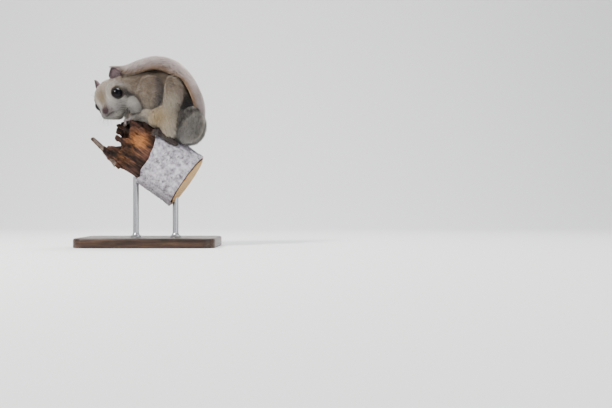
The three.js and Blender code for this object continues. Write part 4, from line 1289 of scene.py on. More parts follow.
class MakeTail(bpy.types.Operator):
    """Long hair swept out and back along the tail"""

    bl_idname = "squirrel.make_tail"
    bl_label = "Tail hair"

    def execute(self, context):
        sizes, tone = context.scene.coat_sizes, tones(context)
        rng = np.random.default_rng(sizes.seed + 1)
        count = sizes.tail_tufts
        t = rng.random(count) ** 0.92
        angle = rng.random(count) * 2 * math.pi
        angle += 0.3 * np.sin(2 * angle)
        along = t * TAIL.length * 0.97
        wide = TAIL_WIDE * tail_spread(t)
        side, out = np.cos(angle), np.sin(angle)
        long = sizes.tail_length / MM * (0.55 + 0.45 * tail_spread(t)) * rng.uniform(0.8, 1.15, count)
        clump = DRIFT.at(np.stack([along * 0.7, side * 6, out * 4], axis=1), 2.0) - 0.5
        sweep = 0.94 - 0.24 * np.abs(side)
        end = TAIL.length + rng.uniform(-1.5, 2.5, count)
        run_length = np.minimum(long * sweep, end - along)
        reach = np.clip(rng.normal(0.95, 0.07, count) + clump * 0.2, 0.7, 1.06)
        draped = smoothstep(t, 0.36, 0.5) * (1 - smoothstep(t, 0.8, 0.95))
        droop = np.abs(side) ** 2 * (2.2 + 6.0 * draped)
        steps = []
        for share, bulk in ((0.0, 0.28), (0.4, 0.72), (0.75, 0.93), (1.0, 1.0)):
            run = along + run_length * share
            far = np.clip(run / TAIL.length, 0, 1)
            spread = np.minimum(tail_spread(far) * TAIL_WIDE, wide * 1.1)
            flat = TAIL_THICK * np.where(out > 0, 1.0, 0.8) * (1 - 0.4 * smoothstep(far, 0.74, 1))
            lift = out * flat * bulk * (1 - 0.25 * share) - droop * share
            steps.append(TAIL.place(run, side * spread * bulk * reach + clump * share, lift))
        path = np.stack(steps, axis=1)
        pressed = EAR_BACK - 11 * smoothstep(path[:, :, 0], -25, -16)
        pressed = pressed - 5 * smoothstep(path[:, :, 2], 66, 69)
        path[:, :, 1] = np.maximum(path[:, :, 1], pressed - rng.uniform(0, 0.8, (count, 1)))
        up = TAIL.frame_at(along)[3]
        width = np.full(count, sizes.tuft_width / MM * 0.95)
        wide3 = np.stack([width * 0.8, width, width * 0.75], axis=1)
        # the lower side is darker: partly the hair's tan brown, partly painted shade
        top = smoothstep(out, -0.3, 0.7)
        base = mixed(tone["tail_under"], tone["tail_top"], top)
        base = mixed(base, tone["tail_under"] * 0.8, smoothstep(DRIFT.at(path[:, 0], 4.0), 0.6, 0.8) * 0.3)
        bright = rng.normal(1, 0.07, count)[:, None, None]
        shade = np.array([0.55, 0.86, 1.0, 1.1])[None, :, None]
        rgba = np.ones((count, 4, 4))
        rgba[:, :, :3] = base[:, None, :] * bright * shade
        uv = self.core_uv(along, angle)
        material = fur_finish("squirrel_tail_hair", 0.45)
        for k, start in enumerate(range(0, count, LOCKS_A_PIECE)):
            cut = slice(start, start + LOCKS_A_PIECE)
            piece = lock_mesh(f"tail_hair_{k + 1}", path[cut], up[cut], wide3[cut], wide3[cut] * 0.4,
                              rgba[cut], uv[cut], material)
            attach(piece, "root")
            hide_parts(*TAIL_NODES)
        return {"FINISHED"}

    def core_uv(self, along, angle):
        """Roots on a plain unrolling of the tail's core."""
        return np.stack([0.02 + 0.96 * along / TAIL.length,
                         0.02 + 0.96 * (angle % (2 * math.pi)) / (2 * math.pi)], axis=1)


# eyes, whiskers and claws


def eye_finish():
    mat, tree, shader = finish_of("squirrel_eye", 0.045, 0.15)
    cloud = node(tree, "ShaderNodeTexNoise", Vector=object_place(tree), Scale=420.0, Detail=2.0)
    coat_tone(tree, shader, cloud, 0.7, 1.3)
    shader.inputs["Coat Weight"].default_value = 0.1
    shader.inputs["Coat Roughness"].default_value = 0.02
    return mat


def lid_finish():
    mat, tree, shader = finish_of("squirrel_lid", 0.45, 0.4)
    fine = node(tree, "ShaderNodeTexNoise", Vector=object_place(tree), Scale=1600.0, Detail=3.0)
    colour = ramp(tree, fine.outputs[0], [(0.3, (0.012, 0.010, 0.010)), (0.7, (0.045, 0.034, 0.030))])
    tree.links.new(colour, shader.inputs["Base Color"])
    bumped(tree, shader, fine.outputs[0], 0.4, 0.0002)
    return mat


class MakeEyes(bpy.types.Operator):
    """Eyes with their lids"""

    bl_idname = "squirrel.make_eyes"
    bl_label = "Eyes and lids"

    def execute(self, context):
        material, lid_material = eye_finish(), lid_finish()
        for side, name in ((1, "left"), (-1, "right")):
            look = EYE_LOOK * [side, 1, 1]
            at = EYE_AT * [side, 1, 1] - look * (0.3 if side == 1 else 0.7)
            across = np.cross(look, [0, 0, 1.0])
            across /= np.linalg.norm(across)
            axes = np.stack([across, np.cross(across, look), look], axis=1)
            self.ball(name, at, axes, material)
            self.lid(name, at, axes, lid_material)
        return {"FINISHED"}

    def ball(self, name, at, axes, material):
        """A ball with a clear bulge at the front and a dark brown iris."""
        around, rows = 56, 36
        angle = np.arange(around) * 2 * math.pi / around
        verts, tints = [], []
        for i in range(1, rows):
            polar = math.pi * i / rows
            bulge = 1 + 0.05 * math.exp(-((polar / 0.62) ** 2))
            r = EYE_RADIUS * bulge
            ring = np.stack([np.cos(angle) * math.sin(polar), np.sin(angle) * math.sin(polar),
                             np.full(around, math.cos(polar))], axis=1)
            verts.append(ring * r)
            iris = math.exp(-(((polar - 0.72) / 0.22) ** 2))
            tints.append(np.tile([0.003 + 0.008 * iris, 0.003 + 0.005 * iris, 0.005 + 0.004 * iris, 1],
                                 (around, 1)))
        top = np.array([[0, 0, EYE_RADIUS * 1.05], [0, 0, -EYE_RADIUS]])
        local = np.vstack(verts + [top])
        faces = []
        for i in range(rows - 2):
            for k in range(around):
                a, b = i * around + k, i * around + (k + 1) % around
                faces.append((a, a + around, b + around, b))
        last = (rows - 1) * around
        for k in range(around):
            b = (k + 1) % around
            faces.append((last, k, b))
            faces.append((last + 1, (rows - 2) * around + b, (rows - 2) * around + k))
        p = HEAD_AT + (at + local @ axes.T) @ HEAD.T
        eye = place_mesh("eyeball_" + name, p, faces, material)
        colour_verts(eye.data, np.vstack(tints + [np.tile([0.006, 0.006, 0.008, 1], (2, 1))]))
        outward(eye.data)
        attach(eye, "root")
        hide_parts("eye_" + name)

    def lid(self, name, at, axes, material):
        """A thin dark rim that hugs the ball, a little pointed at its corners."""
        around, sides = 72, 10
        verts, faces = [], []
        for k in range(around):
            a = 2 * math.pi * k / around
            polar = math.radians(62 + 5 * abs(math.cos(a)) ** 6 - 3 * math.sin(a) ** 2)
            centre = np.array([math.cos(a) * math.sin(polar), math.sin(a) * math.sin(polar),
                               math.cos(polar)]) * (EYE_RADIUS + 0.12)
            out = centre / np.linalg.norm(centre)
            along = np.cross([0, 0, 1.0], out)
            along /= np.linalg.norm(along)
            wide = np.cross(along, out)
            for j in range(sides):
                b = 2 * math.pi * j / sides
                verts.append(centre + wide * math.cos(b) * 0.55 + out * math.sin(b) * 0.34)
        for k in range(around):
            for j in range(sides):
                a, b = k * sides + j, k * sides + (j + 1) % sides
                c, d = (k + 1) % around * sides + j, (k + 1) % around * sides + (j + 1) % sides
                faces.append((a, b, d, c))
        p = HEAD_AT + (at + np.array(verts) @ axes.T) @ HEAD.T
        rim = place_mesh("eyelid_" + name, p, faces, material)
        outward(rim.data)
        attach(rim, "root")


def horn_finish(name):
    """Claw or whisker horn, darker to lighter along its own attribute."""
    mat, tree, shader = finish_of(name, 0.5, 0.2)
    grain = node(tree, "ShaderNodeTexNoise", Vector=object_place(tree), Scale=1500.0, Detail=2.0)
    coat_tone(tree, shader, grain, 0.8, 1.2)
    return mat


def spike_mesh(name, paths, radii, sides, root_colour, tip_colour, material):
    """Joined round spikes along (spikes, places, 3) paths; each ends in a point."""
    count, places, _ = paths.shape
    verts, faces, tints = [], [], []
    for n in range(count):
        base = n * ((places - 1) * sides + 1)
        for k in range(places - 1):
            ahead = paths[n, k + 1] - paths[n, max(k - 1, 0)]
            ahead /= np.linalg.norm(ahead)
            across = np.cross(ahead, [0.31, 0.11, 0.94])
            across /= np.linalg.norm(across)
            rise = np.cross(across, ahead)
            share = k / (places - 1)
            r = radii[n] * (1 - share) ** 0.7
            for j in range(sides):
                b = 2 * math.pi * j / sides
                verts.append(paths[n, k] + across * math.cos(b) * r + rise * math.sin(b) * r)
                tints.append(root_colour + (tip_colour - root_colour) * share)
        verts.append(paths[n, -1])
        tints.append(tip_colour)
        for k in range(places - 2):
            for j in range(sides):
                a, b = base + k * sides + j, base + k * sides + (j + 1) % sides
                faces.append((a, b, b + sides, a + sides))
        top = base + (places - 1) * sides
        for j in range(sides):
            faces.append((top - sides + j, top - sides + (j + 1) % sides, top))
        faces.append(tuple(range(base, base + sides))[::-1])
    obj = place_mesh(name, np.array(verts), faces, material)
    colour_verts(obj.data, np.column_stack([np.array(tints), np.ones(len(tints))]))
    outward(obj.data)
    return obj


class MakeWhiskers(bpy.types.Operator):
    """Whiskers on the muzzle and over the eyes"""

    bl_idname = "squirrel.make_whiskers"
    bl_label = "Whiskers"

    def execute(self, context):
        rng = np.random.default_rng(context.scene.coat_sizes.seed + 2)
        paths = []
        for side in (1, -1):
            for row in range(4):
                for k in range(4):
                    root = np.array([side * (3.6 + 0.9 * k), 15.8 - 2.0 * k, -3.6 - 1.05 * row])
                    aim = np.array([side * (0.75 + 0.1 * k), 0.55 - 0.42 * k,
                                    -0.02 - 0.05 * k - 0.22 * row]) + rng.normal(0, 0.07, 3)
                    paths.append(self.curve(root, aim, rng.uniform(12, 21) * (0.75 + 0.1 * k), side))
            for k in range(3):
                root = np.array([side * (6.2 + k), 10.5 - 1.2 * k, 9.4])
                aim = np.array([side * 0.5, 0.2 - 0.2 * k, 0.9]) + rng.normal(0, 0.08, 3)
                paths.append(self.curve(root, aim, rng.uniform(8, 12), side))
        paths = HEAD_AT + np.array(paths) @ HEAD.T
        material = horn_finish("squirrel_whisker")
        dark, pale = np.array([0.012, 0.009, 0.008]), np.array([0.035, 0.028, 0.025])
        piece = spike_mesh("whiskers", paths, np.full(len(paths), 0.085), 5, dark, pale, material)
        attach(piece, "root")
        return {"FINISHED"}

    def curve(self, root, aim, long, side):
        aim = aim / np.linalg.norm(aim)
        steps = np.linspace(0, 1, 10)[:, None]
        sag = np.array([0, -0.16, -0.14]) * long
        return root - aim * 0.8 + aim * long * steps + sag * steps**2


class MakeClaws(bpy.types.Operator):
    """Curved claws at the toes' tips"""

    bl_idname = "squirrel.make_claws"
    bl_label = "Claws"

    def execute(self, context):
        paths, radii = [], []
        for at, axes, sizes in paws():
            for _, _, tip, ahead in toe_bones(sizes):
                steps = np.linspace(0, 1, 8)[:, None]
                start = tip + ahead * sizes["radius"] * 0.35 + [0, 0, 0.25]
                reach = ahead * sizes["claw"] * (0.95 * steps - 0.2 * steps**2)
                drop = [0, 0, sizes["claw"]] * (0.2 * steps + 0.75 * steps**2)
                paths.append(at + (start + reach - drop) @ axes.T)
                radii.append(sizes["radius"] * 0.48)
        material = horn_finish("squirrel_claw")
        dark, pale = np.array([0.16, 0.10, 0.075]), np.array([0.05, 0.035, 0.03])
        piece = spike_mesh("claws", np.array(paths), radii, 8, dark, pale, material)
        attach(piece, "root")
        return {"FINISHED"}


# perch


def cad_form(name, voxel):
    """A merged copy of a CAD node's mesh, remeshed evenly, as points and faces."""
    source = bpy.data.objects[name]
    bm = bmesh.new()
    bm.from_mesh(source.data)
    bm.transform(source.matrix_world)
    bmesh.ops.remove_doubles(bm, verts=bm.verts, dist=1e-6)
    mesh = bpy.data.meshes.new(name + "_copy")
    bm.to_mesh(mesh)
    bm.free()
    verts = read_verts(mesh)
    faces = np.array([tuple(f.vertices) for f in mesh.polygons])
    bpy.data.meshes.remove(mesh)
    return remeshed(name, verts, faces, voxel)


def bark_finish():
    """Birch bark: white with grey mottling, dark dashes round the limb and tan torn edges."""
    mat, tree, shader = finish_of("perch_bark", 0.62, 0.35)
    place = object_place(tree, turn=(0, LIMB_SLOPE, 0))
    coat = node(tree, "ShaderNodeAttribute", {"attribute_name": "coat"})
    cloud = node(tree, "ShaderNodeTexNoise", Vector=place, Scale=240.0, Detail=7.0, Roughness=0.66)
    mottle = ramp(tree, cloud.outputs[0], [
        (0.33, (0.13, 0.12, 0.13)), (0.44, (0.29, 0.275, 0.30)), (0.56, (0.47, 0.45, 0.49)),
        (0.72, (0.64, 0.615, 0.655)),
    ])
    dashes_at = object_place(tree, scale=(0.0011, 0.0062, 0.0062), turn=(0, LIMB_SLOPE, 0))
    dashes = node(tree, "ShaderNodeTexVoronoi", {"feature": "F1"}, Vector=dashes_at, Scale=1.0,
                  Randomness=1.0)
    dark = node(tree, "ShaderNodeMapRange", i0=dashes.outputs[0], i1=0.16, i2=0.3, i3=1.0, i4=0.0)
    patches = node(tree, "ShaderNodeTexNoise", Vector=place, Scale=55.0, Detail=2.0)
    some = node(tree, "ShaderNodeMapRange", i0=patches.outputs[0], i1=0.45, i2=0.6, i3=0.0, i4=0.85)
    both_of = node(tree, "ShaderNodeMath", {"operation": "MULTIPLY"}, i0=dark.outputs[0],
                   i1=some.outputs[0])
    colour = mix(tree, "MIX", both_of.outputs[0], mottle, (0.10, 0.085, 0.085, 1))
    colour = mix(tree, "MULTIPLY", 1.0, colour, coat.outputs[0])
    tree.links.new(colour, shader.inputs["Base Color"])
    height = node(tree, "ShaderNodeMath", {"operation": "SUBTRACT"}, i0=cloud.outputs[0],
                  i1=both_of.outputs[0])
    bumped(tree, shader, height.outputs[0], 0.55, 0.0006)
    return mat


def wood_finish():
    """Broken rotten wood: long fibres, dark brown to orange brown; rings where it is sawn."""
    mat, tree, shader = finish_of("perch_wood", 0.78, 0.25)
    coat = node(tree, "ShaderNodeAttribute", {"attribute_name": "coat"})
    grain_at = object_place(tree, scale=(6, 1, 1), turn=(0, LIMB_SLOPE, 0))
    grain = node(tree, "ShaderNodeTexNoise", Vector=grain_at, Scale=1300.0, Detail=5.0, Roughness=0.6)
    fibres = ramp(tree, grain.outputs[0],
                  [(0.32, (0.45, 0.42, 0.40)), (0.5, (0.9, 0.88, 0.86)), (0.68, (1.5, 1.42, 1.3))])
    centred = object_place(tree, turn=(0, LIMB_SLOPE, 0),
                           shift=tuple(((LIMB_AT + [0, 0, LIFT]) * MM).tolist()))
    bent = node(tree, "ShaderNodeTexNoise", Vector=centred, Scale=60.0, Detail=2.0)
    wobble = node(tree, "ShaderNodeVectorMath", {"operation": "MULTIPLY_ADD"}, i0=bent.outputs[1],
                  i1=(0, 0.004, 0.004), i2=centred)
    rings = node(tree, "ShaderNodeTexWave", {"wave_type": "RINGS", "rings_direction": "X"},
                 Vector=wobble.outputs[0], Scale=190.0, Distortion=1.2, Detail=2.0)
    sawn = ramp(tree, rings.outputs[0], [(0.1, (0.42, 0.25, 0.12)), (0.75, (0.62, 0.43, 0.24))])
    wild = mix(tree, "MULTIPLY", 1.0, coat.outputs[0], fibres)
    colour = mix(tree, "MIX", coat.outputs[3], wild, sawn)
    tree.links.new(colour, shader.inputs["Base Color"])
    bumped(tree, shader, grain.outputs[0], 0.7, 0.0007)
    return mat


def lenticel_finish():
    mat, tree, shader = finish_of("bark_lenticel", 0.7, 0.2)
    fine = node(tree, "ShaderNodeTexNoise", Vector=object_place(tree), Scale=1500.0, Detail=4.0)
    colour = ramp(tree, fine.outputs[0], [(0.35, (0.045, 0.034, 0.034)), (0.65, (0.21, 0.175, 0.17))])
    tree.links.new(colour, shader.inputs["Base Color"])
    bumped(tree, shader, fine.outputs[0], 0.6, 0.0002)
    return mat


def lenticel_tree(material):
    """Geometry nodes that set raised dashes on a surface, each along the limb's girth."""
    tree = bpy.data.node_groups.new("bark_lenticels", "GeometryNodeTree")
    sockets = {}
    for name, kind in (("Geometry", "Geometry"), ("Density", "Float"), ("Length", "Float"),
                       ("Seed", "Int")):
        sockets[name] = tree.interface.new_socket(name, in_out="INPUT", socket_type="NodeSocket" + kind)
    tree.interface.new_socket("Geometry", in_out="OUTPUT", socket_type="NodeSocketGeometry")
    given = tree.nodes.new("NodeGroupInput").outputs
    outer = node(tree, "GeometryNodeInputNamedAttribute", {"data_type": "FLOAT"}, Name="outside")
    often = node(tree, "ShaderNodeMath", {"operation": "MULTIPLY"}, i0=given["Density"],
                 i1=outer.outputs[0])
    spread = node(tree, "GeometryNodeDistributePointsOnFaces", {"distribute_method": "RANDOM"},
                  Mesh=given["Geometry"], Density=often.outputs[0], Seed=given["Seed"])
    girth = node(tree, "FunctionNodeAlignRotationToVector", {"axis": "X", "pivot_axis": "Z"},
                 Rotation=spread.outputs["Rotation"], Vector=tuple(LIMB_ALONG.tolist()))
    sizes = node(tree, "FunctionNodeRandomValue", {"data_type": "FLOAT_VECTOR"},
                 Min=(0.12, 0.35, 0.10), Max=(0.2, 1.0, 0.16), Seed=given["Seed"])
    long = node(tree, "ShaderNodeVectorMath", {"operation": "SCALE"}, i0=sizes.outputs[0],
                Scale=given["Length"])
    bead = node(tree, "GeometryNodeMeshIcoSphere", Radius=1.0, Subdivisions=2)
    each = node(tree, "GeometryNodeInstanceOnPoints", Points=spread.outputs["Points"],
                Instance=bead.outputs["Mesh"],
                Rotation=girth.outputs[0], Scale=long.outputs[0])
    real = node(tree, "GeometryNodeRealizeInstances", Geometry=each.outputs[0])
    done = node(tree, "GeometryNodeSetMaterial", Geometry=real.outputs[0], Material=material)
    tree.links.new(done.outputs[0], tree.nodes.new("NodeGroupOutput").inputs[0])
    return tree, {name: socket.identifier for name, socket in sockets.items()}


class MakeLenticels(bpy.types.Operator):
    """Raised dark dashes scattered over the bark"""

    bl_idname = "squirrel.make_lenticels"
    bl_label = "Bark dashes"

    def execute(self, context):
        piece = bpy.data.objects["bark_tube"].copy()
        piece.name = "bark_lenticels"
        context.scene.collection.objects.link(piece)
        tree, sockets = lenticel_tree(lenticel_finish())
        scatter = piece.modifiers.new("scatter", "NODES")
        scatter.node_group = tree
        scatter[sockets["Density"]] = 24000.0
        scatter[sockets["Length"]] = 1.35 * MM
        scatter[sockets["Seed"]] = 4
        graph = context.evaluated_depsgraph_get()
        mesh = bpy.data.meshes.new_from_object(piece.evaluated_get(graph), depsgraph=graph)
        if not mesh.polygons:
            raise RuntimeError("no dashes were made on the bark")
        piece.modifiers.remove(scatter)
        piece.data = mesh
        mesh.name = "bark_lenticels"
        outward(mesh)
        mesh.shade_smooth()
        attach(piece, "root")
        return {"FINISHED"}


class MakePerch(bpy.types.Operator):
    """The limb's broken wood and its bark"""

    bl_idname = "squirrel.make_perch"
    bl_label = "Perch"

    def execute(self, context):
        self.bark()
        material = wood_finish()
        self.wood(material)
        self.shard(material)
        return {"FINISHED"}

    def bark(self):
        mesh = cad_form("perch_bark", PERCH_VOXEL)
        pairs = edges_of(mesh)
        p = relaxed(read_verts(mesh), pairs, 3)
        write_verts(mesh, p)
        normal = mesh_normals(mesh)
        where = limb_place(p)
        outside = smoothstep(np.hypot(where[:, 1], where[:, 2]), BARK_RADIUS - 2.4, BARK_RADIUS - 1.0)
        broad = DRIFT.layers(where * [0.6, 1, 1], 9.0) - 0.5
        ridge = DRIFT.layers(where * [2.6, 0.7, 0.7], 2.6) - 0.5
        lift = outside * (broad * 1.3 + ridge * 0.75) - 0.25
        edge = smoothstep(EDGE_FROM - where[:, 0], 0, 7)
        curl = edge * (DRIFT.at(where, 3.0) - 0.3) * 1.3
        p = p + normal * (lift + curl * outside)[:, None]
        write_verts(mesh, p)
        tan = np.array([0.62, 0.40, 0.24])
        rgb = mixed(np.array([1.0, 0.99, 1.0]), tan, (1 - outside) * 0.9)
        crack = smoothstep(ridge + broad * 0.5, 0.12, 0.3) * outside
        rgb = mixed(rgb, np.array([0.55, 0.52, 0.52]), crack * 0.6)
        patchy = smoothstep(DRIFT.layers(where, 8.0), 0.42, 0.62)
        layer = mesh.attributes.new("outside", "FLOAT", "POINT")
        layer.data.foreach_set("value", (outside * (0.15 + 0.85 * patchy)).astype(np.float32))
        self.keep("bark_tube", mesh, np.column_stack([rgb, np.ones(len(rgb))]), bark_finish(), "perch_bark",
                  "perch_bark")

    def wood(self, material):
        mesh = cad_form("perch_wood", PERCH_VOXEL)
        pairs = edges_of(mesh)
        p = relaxed(read_verts(mesh), pairs, 2)
        write_verts(mesh, p)
        normal = mesh_normals(mesh)
        where = limb_place(p)
        broken = smoothstep(-where[:, 0], -12, 0)
        cell = np.floor(where / [7.5, 3.6, 3.6] + 0.6 * DRIFT.at(where, 5.0)[:, None]).astype(int)
        step = ((cell * [73, 151, 283]).sum(axis=1) % 97) / 97.0
        fibre = DRIFT.layers(where * [0.16, 1.3, 1.3], 1.9) - 0.5
        rough = DRIFT.layers(where, 4.5) - 0.5
        push = broken * ((step - 0.5) * 1.9 + rough * 2.4) + fibre * (0.5 + 0.8 * broken)
        sawn = smoothstep(where[:, 0], 54.6, 55.4)
        p = p + normal * (push * (1 - sawn) - 0.2)[:, None]
        p = relaxed(p, pairs, 1, 0.35)
        write_verts(mesh, p)
        tone = self.rot_colours(p, where, step, fibre, rough)
        self.keep("broken_wood", mesh, np.column_stack([tone, sawn]), material, "perch_wood", "perch_wood")

    def rot_colours(self, p, where, step, fibre, rough):
        """Dark rot with plum brown, one fresher orange break under painted light with painted highlights on
        its raised fibres, and a painted shadow for a black hollow.
        """
        dark, plum = np.array([0.024, 0.015, 0.013]), np.array([0.105, 0.056, 0.042])
        orange, tan = np.array([0.33, 0.15, 0.065]), np.array([0.50, 0.31, 0.18])
        grey = np.array([0.15, 0.115, 0.10])
        flat = p * [1, 0, 1]
        mood = DRIFT.layers(where * [0.45, 1, 1], 6.5) + (step - 0.5) * 0.1
        rgb = mixed(dark, plum, smoothstep(mood + fibre * 0.4, 0.4, 0.66))
        # painted light: the fresher orange break is lit, and the tan on its raised fibres is a painted
        # highlight
        lit_fresh_wood = np.maximum(near_point(flat, (-7, 0, 1), 7.5), 0.3 * near_point(flat, (-19, 0, -11), 7.0))
        chunk = smoothstep(DRIFT.layers(where * [0.4, 1, 1], 3.6) + fibre * 0.35, 0.34, 0.54)
        rgb = mixed(rgb, orange, np.clip(lit_fresh_wood * 1.25, 0, 1) * chunk)
        rgb = mixed(rgb, tan, lit_fresh_wood * smoothstep(fibre + rough * 0.9, 0.1, 0.34) * 0.7)
        # painted shadow: a black hollow with no hole in the form
        rgb = mixed(rgb, dark * 0.6, near_point(flat, (-14, 0, -3), 4.5) * 0.9)
        weathered = smoothstep(-where[:, 0], 16, 26)
        return mixed(rgb, grey * (0.7 + rough[:, None]), weathered * 0.5)

    def shard(self, material):
        """A blunt splinter of grey wood left standing below the break."""
        root, tip, radius = np.array([-27.5, -7.2, -18.2]), np.array([-48.0, -9, 4.5]), 2.3
        rings, around = 34, 18
        ahead = (tip - root) / np.linalg.norm(tip - root)
        across = np.cross(ahead, [0, 1.0, 0])
        angle = np.arange(around) * 2 * math.pi / around
        jag = DRIFT.at(np.stack([np.cos(angle) * 3, np.sin(angle) * 3, angle * 0], axis=1), 1.1)
        rows = []
        for k in range(rings):
            share = k / (rings - 1)
            bow = math.sin(math.pi * share) * 0.9
            long = np.linalg.norm(tip - root) * (share - 0.07 * jag * share**6)
            ring = np.stack([np.cos(angle) * 4, np.sin(angle) * 4, angle * 0 + k * 0.25], axis=1)
            r = radius * (1.15 - 0.4 * share) * (1 + 0.3 * (DRIFT.at(ring, 1.6) - 0.5))
            flat = np.stack([np.cos(angle) * r, np.sin(angle) * r * 0.72], axis=1)
            rows.append(root + ahead * long[:, None] + across * (flat[:, :1] - bow)
                        + np.array([0, 1.0, 0]) * flat[:, 1:])
        verts = np.vstack(rows)
        obj = place_mesh("wood_shard", verts, tube_faces(rings, around), material)
        outward(obj.data)
        grey = np.array([0.17, 0.135, 0.12])
        tone = grey * (0.55 + 0.9 * DRIFT.layers(verts, 1.6))[:, None]
        colour_verts(obj.data, np.column_stack([tone, np.zeros(len(tone))]))
        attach(obj, "root")

    def keep(self, name, mesh, rgba, material, slot, cad_name):
        mesh.name = name
        mesh.materials.clear()
        mesh.materials.append(material)
        mesh.shade_smooth()
        colour_verts(mesh, rgba)
        obj = bpy.data.objects.new(name, mesh)
        bpy.context.scene.collection.objects.link(obj)
        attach(obj, "root")
        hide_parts(cad_name)


# stand


def dark_wood_finish():
    """Dark satin wood with long grain."""
    mat, tree, shader = finish_of("stand_wood", 0.38, 0.45)
    place = object_place(tree, scale=(9, 1, 1))
    grain = node(tree, "ShaderNodeTexNoise", Vector=place, Scale=420.0, Detail=6.0, Roughness=0.55,
                 Distortion=0.6)
    colour = ramp(tree, grain.outputs[0],
                  [(0.3, (0.022, 0.012, 0.008)), (0.52, (0.058, 0.031, 0.019)),
                   (0.72, (0.115, 0.062, 0.036))])
    tree.links.new(colour, shader.inputs["Base Color"])
    bumped(tree, shader, grain.outputs[0], 0.25, 0.0002)
    shader.inputs["Coat Weight"].default_value = 0.25
    shader.inputs["Coat Roughness"].default_value = 0.25
    return mat


def steel_finish():
    """Satin steel with fine brushing round the rod."""
    mat, tree, shader = finish_of("stand_metal", 0.32)
    shader.inputs["Metallic"].default_value = 1.0
    place = object_place(tree, scale=(1, 1, 0.06))
    brushing = node(tree, "ShaderNodeTexNoise", Vector=place, Scale=600.0, Detail=3.0)
    colour = ramp(tree, brushing.outputs[0], [(0.3, (0.40, 0.40, 0.41)), (0.7, (0.62, 0.62, 0.63))])
    tree.links.new(colour, shader.inputs["Base Color"])
    rough = node(tree, "ShaderNodeMapRange", i0=brushing.outputs[0], i3=0.24, i4=0.42)
    tree.links.new(rough.outputs[0], shader.inputs["Roughness"])
    return mat


class MakeStand(bpy.types.Operator):
    """A smooth base board and two turned rods"""

    bl_idname = "squirrel.make_stand"
    bl_label = "Stand"

    def execute(self, context):
        low, high = (np.array(v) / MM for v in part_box("stand_base"))
        self.board(low, high)
        for name in ("stand_rod_1", "stand_rod_2"):
            self.rod(name)
        return {"FINISHED"}

    def board(self, low, high):
        """A board with round corners and an eased top edge."""
        corner, steps = 10.0, 14
        half, middle = (high - low) / 2, (high + low) / 2
        foot, ease = 0.6, 1.7
        profile = [(foot, 0.0), (0.0, foot), (0.0, high[2] - ease)]
        for a in np.linspace(0.2, math.pi / 2, 7):
            profile.append((ease - ease * math.cos(a), high[2] - ease + ease * math.sin(a)))
        verts = []
        for inset, up in profile:
            for sx, sy, start in ((1, 1, 0), (-1, 1, 90), (-1, -1, 180), (1, -1, 270)):
                for a in np.linspace(start, start + 90, steps):
                    r = corner - inset
                    x = middle[0] + sx * (half[0] - corner) + r * math.cos(math.radians(a))
                    y = middle[1] + sy * (half[1] - corner) + r * math.sin(math.radians(a))
                    verts.append((x, y, up - LIFT))
        faces = tube_faces(len(profile), 4 * steps)
        board = place_mesh("base_board", np.array(verts), faces, dark_wood_finish(), smooth=False)
        board.data.shade_smooth()
        board.data.set_sharp_from_angle(angle=math.radians(35))
        outward(board.data)
        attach(board, "root")
        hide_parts("stand_base")

    def rod(self, name):
        """A round rod with a small turned collar where it leaves the base."""
        low, high = (np.array(v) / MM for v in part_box(name))
        x, y, r = (low[0] + high[0]) / 2, (low[1] + high[1]) / 2, (high[0] - low[0]) / 2
        collar = ((2.2, 0), (2.2, 0.7), (1.9, 1.1), (0.7, 1.6), (0.45, 2.6), (0.1, 3.0), (0, 3.3))
        profile = [(r + wide, low[2] + up) for wide, up in collar]
        profile.append((r, high[2] - 0.6))
        around = 40
        verts = []
        for radius, up in profile:
            for k in range(around):
                a = 2 * math.pi * k / around
                verts.append((x + radius * math.cos(a), y + radius * math.sin(a), up - LIFT))
        faces = tube_faces(len(profile), around)
        rod = place_mesh(name.replace("stand_", "turned_"), np.array(verts), faces, steel_finish())
        rod.data.set_sharp_from_angle(angle=math.radians(35))
        outward(rod.data)
        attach(rod, "root")
        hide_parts(name)


# stage


def pale_material(name, colour, roughness):
    mat = bpy.data.materials.new(name)
    mat.use_nodes = True
    bsdf = mat.node_tree.nodes["Principled BSDF"]
    bsdf.inputs["Base Color"].default_value = (*colour, 1)
    bsdf.inputs["Roughness"].default_value = roughness
    return mat


def area_light(name, at, target, size, power, colour=(1, 1, 1)):
    data = bpy.data.lights.new(name, "AREA")
    data.shape = "DISK"
    data.size = size
    data.energy = power
    data.color = colour
    obj = bpy.data.objects.new(name, data)
    obj.location = at
    obj.rotation_euler = (Vector(target) - Vector(at)).to_track_quat("-Z", "Y").to_euler()
    bpy.context.scene.collection.objects.link(obj)


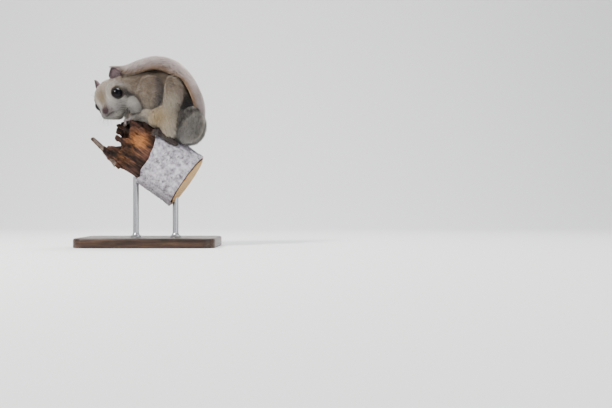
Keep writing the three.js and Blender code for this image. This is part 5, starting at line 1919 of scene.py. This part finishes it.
class MakeStage(bpy.types.Operator):
    """Camera, lights, floor and backdrop"""

    bl_idname = "squirrel.make_stage"
    bl_label = "Stage"

    def execute(self, context):
        scene = context.scene
        away = 0.9
        lens = bpy.data.cameras.new("camera")
        lens.sensor_width = SENSOR
        lens.lens = SENSOR * away / (PHOTO_WIDTH * PHOTO_SCALE * MM)
        camera = bpy.data.objects.new("camera", lens)
        right = (PHOTO_WIDTH / 2 - PHOTO_ZERO[0]) * PHOTO_SCALE * MM
        down = (PHOTO_HEIGHT / 2 - PHOTO_ZERO[1]) * PHOTO_SCALE * MM
        camera.location = (right, -away, LIFT * MM - down)
        camera.rotation_euler = (math.radians(90), 0, 0)
        scene.collection.objects.link(camera)
        scene.camera = camera
        # A floor that sweeps up into the backdrop
        reach, back, turn, high, half_wide = 2.5, 0.6, 0.5, 2.2, 3.5
        side = [(-reach, 0.0)]
        for a in np.linspace(0, math.pi / 2, 17):
            side.append((back + turn * math.sin(a), turn - turn * math.cos(a)))
        side.append((back + turn, high))
        verts = [(x, y, z) for y, z in side for x in (-half_wide, half_wide)]
        faces = [(2 * i, 2 * i + 1, 2 * i + 3, 2 * i + 2) for i in range(len(side) - 1)]
        mesh = bpy.data.meshes.new("floor")
        mesh.from_pydata(verts, [], faces)
        mesh.shade_smooth()
        mesh.materials.append(pale_material("pale_floor", (0.86, 0.86, 0.85), 0.8))
        floor = bpy.data.objects.new("floor", mesh)
        scene.collection.objects.link(floor)
        world = bpy.data.worlds.new("soft_room")
        world.use_nodes = True
        world.node_tree.nodes["Background"].inputs["Color"].default_value = (0.93, 0.96, 1, 1)
        world.node_tree.nodes["Background"].inputs["Strength"].default_value = 0.55
        scene.world = world
        middle = (0, 0, 0.12)
        area_light("key", (-0.5, -0.6, 0.8), middle, 0.24, 12.0, (1, 0.985, 0.96))
        area_light("top", (0.1, 0.3, 0.95), middle, 0.5, 7.5)
        area_light("fill", (0.9, -0.8, 0.35), middle, 0.9, 2.6, (0.95, 0.98, 1))
        scene.view_settings.view_transform = "AgX"
        scene.view_settings.look = "AgX - Medium High Contrast"
        return {"FINISHED"}


class SquirrelPanel(bpy.types.Panel):
    """Buttons for each piece"""

    bl_idname = "VIEW3D_PT_squirrel"
    bl_label = "Flying squirrel"
    bl_space_type = "VIEW_3D"
    bl_region_type = "UI"
    bl_category = "Squirrel"

    def draw(self, context):
        for group in (context.scene.coat_sizes, context.scene.coat_colours):
            for key in group.bl_rna.properties.keys():
                if key not in ("rna_type", "name"):
                    self.layout.prop(group, key)
        for maker in MAKERS:
            self.layout.operator(maker.bl_idname)


# running it


MAKERS = [MakeStage, MakeSkin, MakeEyes, MakeWhiskers, MakeClaws, MakeCoat, MakeTail, MakePerch,
          MakeLenticels, MakeStand]
CLASSES = [CoatSizes, CoatColours, *MAKERS, SquirrelPanel]


def register():
    for cls in CLASSES:
        bpy.utils.register_class(cls)
    bpy.types.Scene.coat_sizes = PointerProperty(type=CoatSizes)
    bpy.types.Scene.coat_colours = PointerProperty(type=CoatColours)


def unregister():
    del bpy.types.Scene.coat_sizes
    del bpy.types.Scene.coat_colours
    for cls in reversed(CLASSES):
        bpy.utils.unregister_class(cls)


def main():
    register()
    bpy.ops.squirrel.make_stage()
    bpy.ops.squirrel.make_skin()
    bpy.ops.squirrel.make_eyes()
    bpy.ops.squirrel.make_whiskers()
    bpy.ops.squirrel.make_claws()
    bpy.ops.squirrel.make_coat()
    bpy.ops.squirrel.make_tail()
    bpy.ops.squirrel.make_perch()
    bpy.ops.squirrel.make_lenticels()
    bpy.ops.squirrel.make_stand()


if __name__ == "__main__":
    main()
